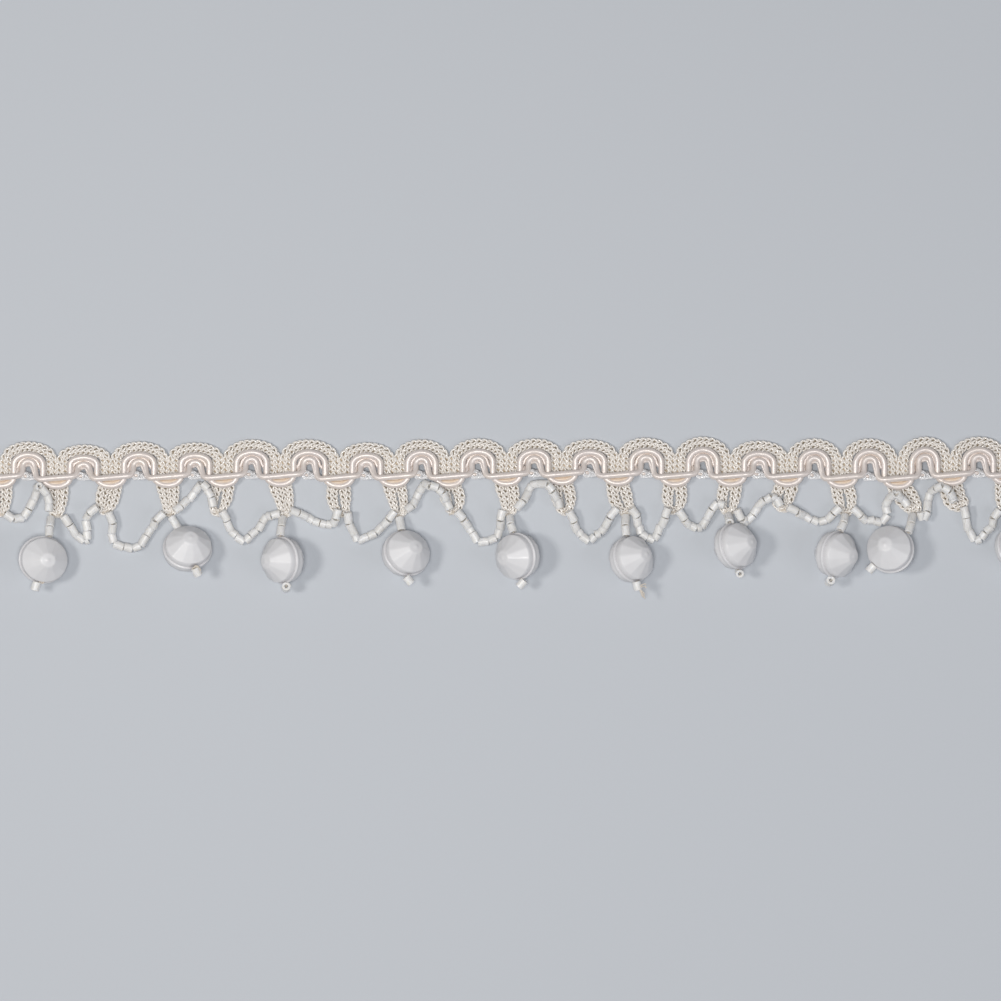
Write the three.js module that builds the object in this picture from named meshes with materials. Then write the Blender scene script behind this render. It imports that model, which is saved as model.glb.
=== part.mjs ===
// Beaded loop fringe trim: a straight length of dress trimming that lies flat on its back.
// Millimetres. +X runs along the trim, +Y points to its scalloped edge and +Z is up, off the
// surface that it lies on. The origin is the middle of its underside.
//
// A knitted tape runs the whole length in scallops above and hanging loops below. Two satin
// cords are laid over it to make the heading: the outer cord arches inside each scallop and
// dips across the foot of it, and the inner cord makes a small arch and a long bar. Strings of
// cylinder beads swing from loop to loop, and some loops carry a faceted ball on a short neck
// of the same beads, with one bead below it as a stopper.
import * as THREE from 'three';

// Driving dimensions.
const TAPE_WIDTH = 2.7;
const TAPE_THICKNESS = 1.0;
const CORD_DIAMETER = 1.4;
const BEAD_DIAMETER = 2.0;
const STOPPER_LENGTH = 2.1;
const BALL_WIDTH = 11.4; // across its face, at right angles to its thread
const BALL_LENGTH = 10.75; // along its thread
const BALL_THICKNESS = 10.6;
const CLEARANCE = 0.3; // left between pieces that touch on the real trim

// Heights of the centre lines above the surface.
const OUTER_CORD_Z = TAPE_THICKNESS + CLEARANCE + CORD_DIAMETER / 2;
const INNER_CORD_Z = OUTER_CORD_Z + CORD_DIAMETER + CLEARANCE;
const NECK_START_Z = 1.35;

// The heading, as heights on its own centre lines.
const TAPE_SPRING_Y = 13.0; // where a scallop turns down into the loops' legs
const LEG_END_Y = 6.3; // where the legs leave the heading
const OUTER_SPRING_Y = 11.6;
const OUTER_DROP = 3.05; // from a scallop's edge to the top of the outer cord's arch
const DIP_Y = 6.55; // bottom of the outer cord's dip
const DIP_HEIGHT = 2.0;
const INNER_DROP = 4.5; // from a scallop's edge to the top of the inner cord's arch
const INNER_ARCH_HEIGHT = 1.1;
const BAR_Y = 8.5;
const BAR_SLOPE = 0.09;
const BAR_CORNER = 1.2;
const BAR_END = 4.0; // how far the end bars run on past the middle of the end loops

// Half widths of the arches, and the slit between a loop's two legs.
const OUTER_LEG = 3.1; // from the middle of a loop to the outer cord's leg
const INNER_LEG = 1.3; // from the middle of a scallop to the inner cord's leg
const INNER_LEAN = 0.35; // how far its right leg leans out on its way down
const SLIT = 0.3;
const WAIST_Y = 3.4;
const FOOT_NARROWING = 0.72; // width of the foot over the width of the waist
const NECK_DROP = 0.5; // from a loop's bottom edge to the end of a pendant's neck

// The loops from left to right. x is where a loop's legs meet, rise is how far the heading
// wanders up there, waist and foot are how far the loop leans sideways at half height and at
// its bottom edge, which is at the height bottom, and width is over both legs at the waist.
const LOOPS = [
  { x: -116.9, rise: -0.3, waist: 0.0, foot: 0.0, bottom: -1.0, width: 5.4 },
  { x: -104.1, rise: -0.4, waist: 0.0, foot: -0.1, bottom: -1.2, width: 5.2 },
  { x: -91.8, rise: -0.3, waist: -0.8, foot: -1.1, bottom: -0.6, width: 5.8 },
  { x: -78.8, rise: -0.1, waist: 0.4, foot: 0.5, bottom: -1.0, width: 4.4 },
  { x: -66.2, rise: -0.1, waist: -0.7, foot: -1.2, bottom: -0.8, width: 5.6 },
  { x: -53.2, rise: 0.1, waist: 0.9, foot: 1.2, bottom: -1.2, width: 4.6 },
  { x: -39.8, rise: -0.3, waist: 0.0, foot: 0.5, bottom: -1.0, width: 5.9 },
  { x: -27.2, rise: -0.1, waist: 0.8, foot: 1.2, bottom: -1.2, width: 4.8 },
  { x: -14.7, rise: -0.1, waist: 0.9, foot: 1.0, bottom: -0.4, width: 5.9 },
  { x: -1.6, rise: 0.2, waist: 0.7, foot: 0.6, bottom: -1.0, width: 4.8 },
  { x: 11.0, rise: 0.5, waist: 0.5, foot: 0.7, bottom: -0.6, width: 5.9 },
  { x: 23.8, rise: 0.3, waist: 0.7, foot: 1.7, bottom: -0.8, width: 5.9 },
  { x: 36.8, rise: 0.1, waist: -0.1, foot: -0.2, bottom: -0.4, width: 6.1 },
  { x: 49.5, rise: 0.1, waist: -0.5, foot: -0.6, bottom: -0.6, width: 5.5 },
  { x: 62.4, rise: 0.1, waist: -1.1, foot: -0.8, bottom: 0.1, width: 5.4 },
  { x: 74.8, rise: -0.3, waist: 0.8, foot: 1.0, bottom: -0.7, width: 5.7 },
  { x: 87.6, rise: -0.5, waist: 2.2, foot: 3.6, bottom: -0.6, width: 5.7 },
  { x: 99.7, rise: 0.3, waist: 0.9, foot: 2.1, bottom: 0.4, width: 5.9 },
  { x: 112.4, rise: 0.4, waist: 0.0, foot: 0.0, bottom: -0.8, width: 5.4 },
];

// The height of each scallop's edge, for the scallop to the right of each loop.
const SCALLOP_TOPS = [
  16.5, 15.8, 16.5, 16.3, 17.0, 17.0, 16.3, 17.0, 17.2, 17.2, 17.0, 17.4, 17.6, 16.7, 17.2,
  17.2, 17.6, 17.6,
];

// Heights of a bead string's centre line where it is off the surface.
const BESIDE = 2.1; // next to the tape's edge
const OVER = 2.5; // on the tape
const CROSSING = 3.7; // on the outer cord's dip

// Each bead string from the foot of one loop to the next, joint by joint between its beads:
// across from the middle of the loop that it leaves, up, and its height off the surface.
const STRINGS = [
  [[1.1, -0.1, OVER], [3.1, -1.3, BESIDE], [5.2, -1], [6.5, 1], [7.7, 3.1],
    [8.5, 5.6, BESIDE], [9.3, 6, CROSSING], [10.6, 4.4, OVER], [11.1, 2.2, OVER],
    [10.9, 0.5, OVER]],
  [[1.8, -0.4, OVER], [3, -2.6, BESIDE], [4.4, -4.9], [6.3, -6.4], [7.2, -6], [6.9, -4],
    [6.7, -1.5], [7.4, 0.1, BESIDE], [9.4, 1.7, OVER]],
  [[-0.3, 0.4, OVER], [0.6, -2.2, BESIDE], [0.2, -4.4], [0.8, -6.7], [3.1, -7.6],
    [5.1, -8.1], [6.9, -7.4], [8.3, -5.1], [9.5, -3.3], [10.4, -1.5, BESIDE],
    [12.2, 0.2, OVER]],
  [[1.7, 0.5, OVER], [3.3, 1.5, BESIDE], [4.7, 3.1], [6.2, 5.1], [7.8, 6.7, BESIDE],
    [9, 5.4, OVER], [9.9, 3.5, OVER], [10.6, 1.5, OVER]],
  [[-0.2, 0.6, OVER], [0.9, -1.7, BESIDE], [1.8, -3.8], [3, -5.1], [5, -6.3], [6.2, -5.1],
    [7.8, -3.8], [8.9, -2.2], [10, -0.6], [11.2, -0.6, BESIDE], [13, 0.1, OVER]],
  [[2.3, 0.6, OVER], [4.3, 0.1, BESIDE], [6.2, -0.7], [7.5, -1.9], [9.1, -2.3],
    [10.5, -2.5], [11.9, -2.5], [12.8, -1.2, BESIDE], [13.2, 1, OVER]],
  [[1.9, 0.3, OVER], [2.3, -2.2, BESIDE], [3.7, -4.9], [4.4, -6.3], [6.7, -5.1],
    [8.5, -4.4], [10.1, -3], [11.2, -1.3, BESIDE], [12.6, 0.6, OVER]],
  [[2.7, 0.6, OVER], [4.1, 1.7, BESIDE], [5, 3.1], [5.7, 4.9], [6.8, 6.7, BESIDE],
    [8.2, 6.3, CROSSING], [10, 5.6, CROSSING], [11.1, 4.8, CROSSING], [11.8, 2.8, OVER],
    [12.7, 0.8, OVER]],
  [[1.8, 0.6, OVER], [3.2, -1.4, BESIDE], [4.3, -3], [5.2, -4.4], [6.6, -6.5], [9.1, -6.3],
    [10.9, -5.6], [11.6, -3.5], [11.6, -1.5, BESIDE], [12.1, 0.8, OVER]],
  [[2.2, 1, OVER], [3.8, 2.8, BESIDE], [4.9, 4.9], [5.8, 6.5], [7.6, 6.9, BESIDE],
    [9.5, 6.6, CROSSING], [10.6, 5.1, CROSSING], [11.5, 3.3, OVER], [12.2, 1.3, OVER]],
  [[1.6, 0.6, OVER], [2.8, -1.9, BESIDE], [3.5, -4], [4.4, -5.1], [6.4, -6.3], [7.6, -5.1],
    [8.7, -4.4], [9.8, -3.1], [11, -1, BESIDE], [12.6, 1.3, OVER]],
  [[3, 1.3, OVER], [4.3, -0.8, BESIDE], [4.6, -2.8], [5.2, -4.7], [6.8, -5.5], [8.4, -6],
    [8.9, -4.7], [9.8, -2.8], [10.7, -0.8, BESIDE], [11.6, 1.3, OVER]],
  [[0.9, 0.8, OVER], [2, -1.5, BESIDE], [3.4, -2.8], [5, -3.5], [6.1, -3.3], [7.1, -1.3],
    [8.4, 1, BESIDE], [9.8, 2.4, OVER], [11.2, 1.7, OVER]],
  [[1.4, 1, OVER], [2.6, -1.3, BESIDE], [3.7, -2.2], [5.1, -0.3], [6.4, 1.5],
    [7.8, 3.1, BESIDE], [9.2, 3.9, OVER], [10.3, 3.5, OVER], [11.4, 1.7, OVER]],
  [[0.1, 1.7, OVER], [2.2, 0.3, BESIDE], [3.8, -0.3], [5.6, -1.4], [7.2, -1.9], [9, -1.5],
    [10.4, 0.1, BESIDE], [12, 1.5, OVER]],
  [[2.5, 1.3, OVER], [4.4, -0.6, BESIDE], [5.7, -1.7], [7.5, -1.6], [9.1, -2.2],
    [10.3, -0.1], [9.9, 1.9], [10.7, 3.5, BESIDE], [12.3, 4.4, CROSSING], [13.7, 3.5, OVER],
    [15.1, 1.8, OVER]],
  [[5.1, 0.4, OVER], [5.7, -1.4, BESIDE], [6.7, 0.4, BESIDE], [6.9, 2.8], [7.4, 4.7],
    [8.6, 5.7, OVER], [10.2, 6.2, CROSSING], [11.6, 5.1, CROSSING], [12.3, 3.6, OVER],
    [12.8, 2.6, OVER]],
  [[2.7, 1.5, OVER], [3.5, -1, BESIDE], [4.1, -3.8], [5.4, -6.3], [6.8, -5.6],
    [7.9, -4.4], [9.5, -3.1], [9.5, -1, BESIDE], [10.9, 0.8, OVER]],
];

// The pendants: the loop that each hangs from and how far to the side of its foot, the ball's
// centre, the swing of its thread away from straight down, how far the ball has rolled about
// the thread and pitched towards the loop, in degrees, the way the stopper's hole points and
// how far the stopper lies to the side of the thread's line.
const PENDANT_COLUMNS = [
  'loop', 'side', 'x', 'y', 'swing', 'roll', 'pitch', 'stopper', 'aside',
];
const PENDANTS = [
  [1, -1.2, -106.9, -10.5, -15, 18, 4, [0.3, 1, 0.1], 0],
  [3, 0.3, -74.1, -8.0, 25, 24, 25, [-0.5, 1, 0.3], -0.2],
  [5, -0.5, -52.5, -10.6, 5, -49, 2, [0.1, 0.3, 1], 0.3],
  [7, 0, -24.5, -9.1, 11, 32, 15, [-0.8, 1, 0.2], -0.5],
  [9, 0.2, 0.9, -9.7, 9, -44, 3, [0.9, 1, 0.2], 0],
  [11, 0, 26.8, -10.4, 12, 45, 8, [-0.2, 1, 0.1], 0],
  [13, 0, 50.4, -7.4, 13, 50, 4, [0.1, -0.3, 1], -0.5],
  [15, -0.3, 73.3, -9.3, -9, 50, 3, [0.2, 0.3, 1], -0.45],
  [16, -0.3, 85.7, -8.2, -46, -25, -4, [0.9, 1, 0.1], 0],
  [18, 0.3, 114.7, -7.6, 15, 30, 6, [-0.3, 1, 0.2], 0],
].map((row) => Object.fromEntries(row.map((value, i) => [PENDANT_COLUMNS[i], value])));

// How finely the curved stretches are stepped.
const TAPE_ARCH_STEPS = 9;
const CORD_ARCH_STEPS = 6;
const LEG_STEPS = 4;
const FOOT_STEPS = 6;
const CORNER_STEPS = 3;
const CORD_SIDES = 6;
const BEAD_SIDES = 8;
const BALL_SIDES = 14;

const TAPE_ARCH_POWER = 1.9; // slackens the tape's shoulders a little; 2 is an ellipse
const CORD_ARCH_POWER = 2.0;

const KNIT_CREAM = new THREE.MeshStandardMaterial({ color: '#e6dccb', roughness: 0.8 });
const SATIN_CREAM = new THREE.MeshStandardMaterial({ color: '#eadbd0', roughness: 0.45 });
const BEAD_WHITE = new THREE.MeshStandardMaterial({ color: '#e4e3df', roughness: 0.35 });
const BALL_WHITE = new THREE.MeshStandardMaterial({ color: '#e6e6ea', roughness: 0.15 });

// A route through given points, which a section is swept along with a step at every point.
class Route extends THREE.Curve {
  constructor(points) {
    super();
    this.points = points;
  }

  getPoint(t, target = new THREE.Vector3()) {
    const at = t * (this.points.length - 1);
    const i = Math.min(Math.floor(at), this.points.length - 2);
    return target.lerpVectors(this.points[i], this.points[i + 1], at - i);
  }

  getPointAt(u, target) {
    return this.getPoint(u, target);
  }

  // halfway between the directions of the two stretches that meet at a point
  getTangentAt(u) {
    const last = this.points.length - 1;
    const i = Math.round(u * last);
    const here = this.points[i];
    const before = this.points[Math.max(i - 1, 0)];
    const after = this.points[Math.min(i + 1, last)];
    const arriving = here.clone().sub(before).normalize();
    const leaving = after.clone().sub(here).normalize();
    return arriving.add(leaving).normalize();
  }
}

function sweep(points, diameter, sides) {
  const section = new THREE.Shape();
  for (let i = 0; i < sides; i += 1) {
    const angle = ((i + 0.5) * 2 * Math.PI) / sides;
    const x = (diameter / 2) * Math.cos(angle);
    const y = (diameter / 2) * Math.sin(angle);
    if (i === 0) section.moveTo(x, y);
    else section.lineTo(x, y);
  }
  section.closePath();
  const steps = points.length - 1;
  return new THREE.ExtrudeGeometry(section, { steps, extrudePath: new Route(points) });
}

// The points of a rounded arch over the middle x, from its left spring to its right one. base
// gives the height of the spring line, which slopes with the heading.
function arch(x, halfWidth, base, height, power, steps) {
  const points = [];
  for (let i = 0; i <= steps; i += 1) {
    const angle = Math.PI * (1 - i / steps);
    const across = Math.sign(Math.cos(angle)) * Math.abs(Math.cos(angle)) ** (2 / power);
    const up = Math.abs(Math.sin(angle)) ** (2 / power);
    const px = x + halfWidth * across;
    points.push(new THREE.Vector2(px, base(px) + height * up));
  }
  return points;
}

// The line that the heading wanders along, between two neighbouring loops.
function wander(left, right) {
  const slope = (right.rise - left.rise) / (right.x - left.x);
  return (x) => left.rise + slope * (x - left.x);
}

function* scallops() {
  for (let i = 0; i < SCALLOP_TOPS.length; i += 1) {
    const left = LOOPS[i];
    const right = LOOPS[i + 1];
    const x = (left.x + right.x) / 2;
    yield { left, right, x, top: SCALLOP_TOPS[i], half: (right.x - left.x) / 2, rise: wander(left, right) };
  }
}

// The tape's centre line and half width down one leg of a loop, round its foot and back up.
function loopLine(loop) {
  const leg = TAPE_WIDTH / 2;
  const waist = (loop.width - SLIT) / 4;
  const footRadius = (FOOT_NARROWING * loop.width) / 2;
  const foot = (footRadius - SLIT / 2) / 2;
  const spine = new THREE.SplineCurve([
    new THREE.Vector2(loop.x, LEG_END_Y),
    new THREE.Vector2(loop.x + loop.waist, WAIST_Y),
    new THREE.Vector2(loop.x + loop.foot, loop.bottom + footRadius),
  ]);
  const down = [{ x: loop.x - leg - SLIT / 2, y: TAPE_SPRING_Y + loop.rise, half: leg }];
  const up = [{ x: loop.x + leg + SLIT / 2, y: TAPE_SPRING_Y + loop.rise, half: leg }];
  for (let i = 0; i <= LEG_STEPS; i += 1) {
    const t = i / LEG_STEPS;
    const half = t < 0.5 ? leg + (waist - leg) * 2 * t : waist + (foot - waist) * (2 * t - 1);
    const out = half + SLIT / 2;
    const at = spine.getPoint(t);
    const along = i === 0 ? new THREE.Vector2(0, -1) : spine.getTangent(t);
    down.push({ x: at.x + out * along.y, y: at.y - out * along.x, half });
    up.push({ x: at.x - out * along.y, y: at.y + out * along.x, half });
  }
  const centre = spine.getPoint(1);
  const end = spine.getTangent(1);
  const lean = Math.atan2(end.x, -end.y);
  const out = foot + SLIT / 2;
  const round = [];
  for (let i = 1; i < FOOT_STEPS; i += 1) {
    const angle = Math.PI + (i * Math.PI) / FOOT_STEPS + lean;
    round.push({ x: centre.x + out * Math.cos(angle), y: centre.y + out * Math.sin(angle), half: foot });
  }
  return [...down, ...round, ...up.reverse()];
}

function tapeLine() {
  const line = loopLine(LOOPS[0]);
  for (const { right, x, top, half, rise } of scallops()) {
    const leg = TAPE_WIDTH / 2;
    const base = (px) => TAPE_SPRING_Y + rise(px);
    const height = top - leg - base(x);
    const over = arch(x, half - leg - SLIT / 2, base, height, TAPE_ARCH_POWER, TAPE_ARCH_STEPS);
    for (const point of over.slice(1, -1)) line.push({ x: point.x, y: point.y, half: leg });
    line.push(...loopLine(right));
  }
  return line;
}

function knittedTape() {
  const line = tapeLine();
  const near = [];
  const far = [];
  line.forEach((at, i) => {
    const before = line[Math.max(i - 1, 0)];
    const after = line[Math.min(i + 1, line.length - 1)];
    const across = new THREE.Vector2(before.y - after.y, after.x - before.x).setLength(at.half);
    near.push(new THREE.Vector2(at.x + across.x, at.y + across.y));
    far.push(new THREE.Vector2(at.x - across.x, at.y - across.y));
  });
  const outline = new THREE.Shape([...near, ...far.reverse()]);
  return new THREE.ExtrudeGeometry(outline, { depth: TAPE_THICKNESS, bevelEnabled: false });
}

// An arch inside every scallop and a dip across the foot of every loop.
function outerCord() {
  const dip = (loop) => {
    const base = () => -(DIP_Y + loop.rise + DIP_HEIGHT);
    const under = arch(loop.x, OUTER_LEG, base, DIP_HEIGHT, CORD_ARCH_POWER, CORD_ARCH_STEPS);
    return under.map((point) => new THREE.Vector2(point.x, -point.y));
  };
  const line = [new THREE.Vector2(LOOPS[0].x - OUTER_LEG, OUTER_SPRING_Y), ...dip(LOOPS[0])];
  for (const { right, x, top, half, rise } of scallops()) {
    const base = (px) => OUTER_SPRING_Y + rise(px);
    const height = top - OUTER_DROP - base(x);
    line.push(...arch(x, half - OUTER_LEG, base, height, CORD_ARCH_POWER, CORD_ARCH_STEPS));
    line.push(...dip(right));
  }
  const last = LOOPS.at(-1);
  line.push(new THREE.Vector2(last.x + OUTER_LEG, OUTER_SPRING_Y));
  const points = line.map((point) => new THREE.Vector3(point.x, point.y, OUTER_CORD_Z));
  return sweep(points, CORD_DIAMETER, CORD_SIDES);
}

// A small arch in the middle of every scallop, joined by long bars across the loops.
function innerCord() {
  const barY = (loop, x) => BAR_Y + loop.rise + BAR_SLOPE * (x - loop.x);
  const corner = (loop, legX, side) => {
    const x = legX + side * BAR_CORNER;
    const y = barY(loop, x) + BAR_CORNER;
    const points = [];
    for (let i = 0; i <= CORNER_STEPS; i += 1) {
      const angle = (i * Math.PI) / 2 / CORNER_STEPS;
      const across = -side * BAR_CORNER * Math.cos(angle);
      points.push(new THREE.Vector2(x + across, y - BAR_CORNER * Math.sin(angle)));
    }
    return points;
  };
  const first = LOOPS[0];
  const start = first.x - BAR_END;
  const line = [new THREE.Vector2(start, barY(first, start))];
  for (const { left, right, x, top, rise } of scallops()) {
    const base = (px) => top - INNER_DROP - INNER_ARCH_HEIGHT + rise(px) - rise(x);
    line.push(...corner(left, x - INNER_LEG, -1).reverse());
    line.push(...arch(x, INNER_LEG, base, INNER_ARCH_HEIGHT, CORD_ARCH_POWER, CORD_ARCH_STEPS));
    line.push(...corner(right, x + INNER_LEG + INNER_LEAN, 1));
  }
  const last = LOOPS.at(-1);
  const end = last.x + BAR_END;
  line.push(new THREE.Vector2(end, barY(last, end)));
  const points = line.map((point) => new THREE.Vector3(point.x, point.y, INNER_CORD_Z));
  return sweep(points, CORD_DIAMETER, CORD_SIDES);
}

function beadString(loop, route) {
  const onSurface = BEAD_DIAMETER / 2;
  const points = route.map(([x, y, z = onSurface]) => new THREE.Vector3(loop.x + x, y, z));
  return sweep(points, BEAD_DIAMETER, BEAD_SIDES);
}

// Two flat-cut domes back to back with a narrow band between them, facing its own Z and
// threaded along its own Y.
function ballShape() {
  const radius = BALL_LENGTH / 2;
  const height = BALL_THICKNESS / 2;
  const dome = [
    [0, 1],
    [0.29, 0.94],
    [0.91, 0.37],
    [0.98, 0.2],
    [1, 0.04],
  ];
  const lower = dome.map(([r, h]) => new THREE.Vector2(r * radius, -h * height));
  const upper = dome.map(([r, h]) => new THREE.Vector2(r * radius, h * height)).reverse();
  const domes = new THREE.LatheGeometry([...lower, ...upper], BALL_SIDES);
  return domes.rotateX(Math.PI / 2).scale(BALL_WIDTH / BALL_LENGTH, 1, 1);
}

// A cylinder between two points.
function rod(from, to, diameter) {
  const along = to.clone().sub(from);
  const up = new THREE.Vector3(0, 1, 0);
  const mesh = new THREE.Mesh(
    new THREE.CylinderGeometry(diameter / 2, diameter / 2, along.length(), BEAD_SIDES),
    BEAD_WHITE,
  );
  mesh.position.copy(from).addScaledVector(along, 0.5);
  mesh.quaternion.setFromUnitVectors(up, along.normalize());
  return mesh;
}

// The ball turned as it lies and lowered until it touches the surface.
function seatedBall({ x, y, swing, roll, pitch }) {
  const ball = new THREE.Mesh(ballShape(), BALL_WHITE);
  const turn = THREE.MathUtils.degToRad;
  ball.rotation.set(-turn(pitch), turn(roll), turn(swing), 'ZXY');
  ball.updateMatrixWorld();
  const lowest = new THREE.Box3().setFromObject(ball, true).min.z;
  ball.position.set(x, y, -lowest);
  return ball;
}

// How far a bead that points along one direction reaches in another from its middle.
function reach(along, towards, halfLength) {
  const cosine = Math.abs(along.dot(towards));
  return halfLength * cosine + (BEAD_DIAMETER / 2) * Math.sqrt(1 - cosine * cosine);
}

function pendant(spec) {
  const number = PENDANTS.indexOf(spec) + 1;
  const label = String(number).padStart(2, '0');
  const loop = LOOPS[spec.loop];
  const ball = seatedBall(spec);
  ball.name = `ball_${label}`;

  // the thread's way out of the ball, towards the loop
  const thread = new THREE.Vector3(0, 1, 0).applyQuaternion(ball.quaternion);
  const hole = ball.position.clone().addScaledVector(thread, BALL_LENGTH / 2);
  const footX = loop.x + loop.foot + spec.side;
  const foot = new THREE.Vector3(footX, loop.bottom - NECK_DROP, NECK_START_Z);
  const slope = hole.clone().sub(foot).normalize();
  const top = hole.clone().addScaledVector(thread, CLEARANCE + reach(slope, thread, 0));
  const neck = rod(foot, top, BEAD_DIAMETER);
  neck.name = `neck_beads_${label}`;

  const along = new THREE.Vector3(...spec.stopper).normalize();
  const drop = BALL_LENGTH + CLEARANCE + reach(along, thread, STOPPER_LENGTH / 2);
  const middle = hole.clone().addScaledVector(thread, -drop);
  middle.x += spec.aside;
  const half = along.clone().multiplyScalar(STOPPER_LENGTH / 2);
  const stopper = rod(middle.clone().sub(half), middle.clone().add(half), BEAD_DIAMETER);
  stopper.name = `stopper_bead_${label}`;
  return [neck, ball, stopper];
}

function named(name, geometry, material) {
  const mesh = new THREE.Mesh(geometry, material);
  mesh.name = name;
  return mesh;
}

const trim = new THREE.Group();
trim.add(named('knitted_tape', knittedTape(), KNIT_CREAM));
trim.add(named('outer_satin_cord', outerCord(), SATIN_CREAM));
trim.add(named('inner_satin_cord', innerCord(), SATIN_CREAM));
STRINGS.forEach((route, i) => {
  const name = `bead_string_${String(i + 1).padStart(2, '0')}`;
  trim.add(named(name, beadString(LOOPS[i], route), BEAD_WHITE));
});
for (const spec of PENDANTS) trim.add(...pendant(spec));

export default trim;
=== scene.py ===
"""Beaded loop fringe trim, laid flat and face up on a pale floor.

A knitted tape runs in scallops above and hanging loops below. Two satin cords are laid on it
to make the heading. Strings of cylinder beads swing from loop to loop, and ten loops carry a
flat-cut ball on a short neck of the same beads.
"""
import math
import random

import bpy
import numpy as np
from bpy.props import FloatProperty, FloatVectorProperty, IntProperty, PointerProperty
from bpy.types import Operator, Panel, PropertyGroup
from mathutils import Matrix, Vector


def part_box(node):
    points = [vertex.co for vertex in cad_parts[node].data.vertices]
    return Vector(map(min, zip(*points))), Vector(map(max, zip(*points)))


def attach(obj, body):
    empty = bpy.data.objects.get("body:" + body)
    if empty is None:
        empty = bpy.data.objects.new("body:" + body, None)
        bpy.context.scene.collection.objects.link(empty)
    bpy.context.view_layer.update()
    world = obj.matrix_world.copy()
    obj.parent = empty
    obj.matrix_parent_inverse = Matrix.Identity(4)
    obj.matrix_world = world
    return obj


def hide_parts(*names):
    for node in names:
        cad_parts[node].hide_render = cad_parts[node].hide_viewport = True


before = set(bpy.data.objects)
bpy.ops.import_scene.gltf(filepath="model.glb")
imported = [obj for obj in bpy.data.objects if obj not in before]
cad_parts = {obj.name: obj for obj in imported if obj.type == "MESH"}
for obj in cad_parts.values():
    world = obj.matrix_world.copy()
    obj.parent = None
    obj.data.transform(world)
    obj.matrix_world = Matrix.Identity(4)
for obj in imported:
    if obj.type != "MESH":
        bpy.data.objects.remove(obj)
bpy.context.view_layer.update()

bl_info = {
    "name": "Beaded Loop Fringe Trim",
    "version": (1, 0, 0),
    "blender": (4, 5, 0),
    "location": "3D View > Sidebar > Trim",
    "description": "Knitted tape, satin cords, bead strings and ball pendants of a dress trim",
    "category": "Object",
}

MM = 0.001
BODY = "root"

# The trim's own measurements, in millimetres, as in the frame that it is built on.
TAPE_WIDTH = 2.7
BEAD_DIAMETER = 2.0
STOPPER_LENGTH = 2.1
BALL_WIDTH = 11.4
BALL_LENGTH = 10.75
BALL_THICKNESS = 10.6

TAPE_SPRING_Y = 13.0
LEG_END_Y = 6.3
OUTER_SPRING_Y = 11.6
OUTER_DROP = 3.05
DIP_Y = 6.55
DIP_HEIGHT = 2.0
INNER_DROP = 4.5
INNER_ARCH_HEIGHT = 1.1
BAR_Y = 8.5
BAR_SLOPE = 0.09
BAR_CORNER = 1.2
BAR_END = 4.0
OUTER_LEG = 3.1
INNER_LEG = 1.3
WAIST_Y = 3.4
FOOT_NARROWING = 0.72
TAPE_ARCH_POWER = 1.9
CORD_ARCH_POWER = 2.0

# The loops from left to right: where the legs meet, how far the heading wanders up there, how
# far the loop leans at half height and at its bottom edge, the height of that edge, the width
# over both legs, and the slit between them, below zero where they press together.
LOOP_COLUMNS = ("x", "rise", "waist", "foot", "bottom", "width", "slit")
LOOP_ROWS = (
    (-116.9, -0.3, 0.0, 0.0, -1.0, 5.4, -0.2),
    (-104.1, -0.4, 0.0, -0.1, -1.2, 5.2, -0.2),
    (-91.8, -0.3, -0.8, -1.1, -0.6, 5.8, -0.2),
    (-78.8, -0.1, 0.4, 0.5, -1.0, 4.4, -0.2),
    (-66.2, -0.1, -0.7, -1.2, -0.8, 5.6, 0.4),
    (-53.2, 0.1, 0.9, 1.2, -1.2, 4.6, -0.2),
    (-39.8, -0.3, 0.0, 0.5, -1.0, 5.9, 0.3),
    (-27.2, -0.1, 0.8, 1.2, -1.2, 4.8, 0.2),
    (-14.7, -0.1, 0.9, 1.0, -0.4, 5.9, 0.4),
    (-1.6, 0.2, 0.7, 0.6, -1.0, 4.8, -0.2),
    (11.0, 0.5, 0.5, 0.7, -0.6, 5.9, 0.25),
    (23.8, 0.3, 0.7, 1.7, -0.8, 5.9, 0.1),
    (36.8, 0.1, -0.1, -0.2, -0.4, 6.1, 0.45),
    (49.5, 0.1, -0.5, -0.6, -0.6, 5.5, 0.35),
    (62.4, 0.1, -1.1, -0.8, 0.1, 5.4, 0.3),
    (74.8, -0.3, 0.8, 1.0, -0.7, 5.7, 0.35),
    (87.6, -0.5, 2.2, 3.6, -0.6, 5.7, -0.2),
    (99.7, 0.3, 0.9, 2.1, 0.4, 5.9, -0.2),
    (112.4, 0.4, 0.0, 0.0, -0.8, 5.4, -0.2),
)
LOOPS = [dict(zip(LOOP_COLUMNS, row)) for row in LOOP_ROWS]

# The height of each scallop's edge, for the scallop to the right of each loop.
SCALLOP_TOPS = (
    16.5, 15.8, 16.5, 16.3, 17.0, 17.0, 16.3, 17.0, 17.2, 17.2, 17.0, 17.4, 17.6, 16.7, 17.2,
    17.2, 17.6, 17.6,
)

# Heights of a bead string's centre line where it is off the surface.
BESIDE = 2.1
OVER = 2.5
CROSSING = 3.7

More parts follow.
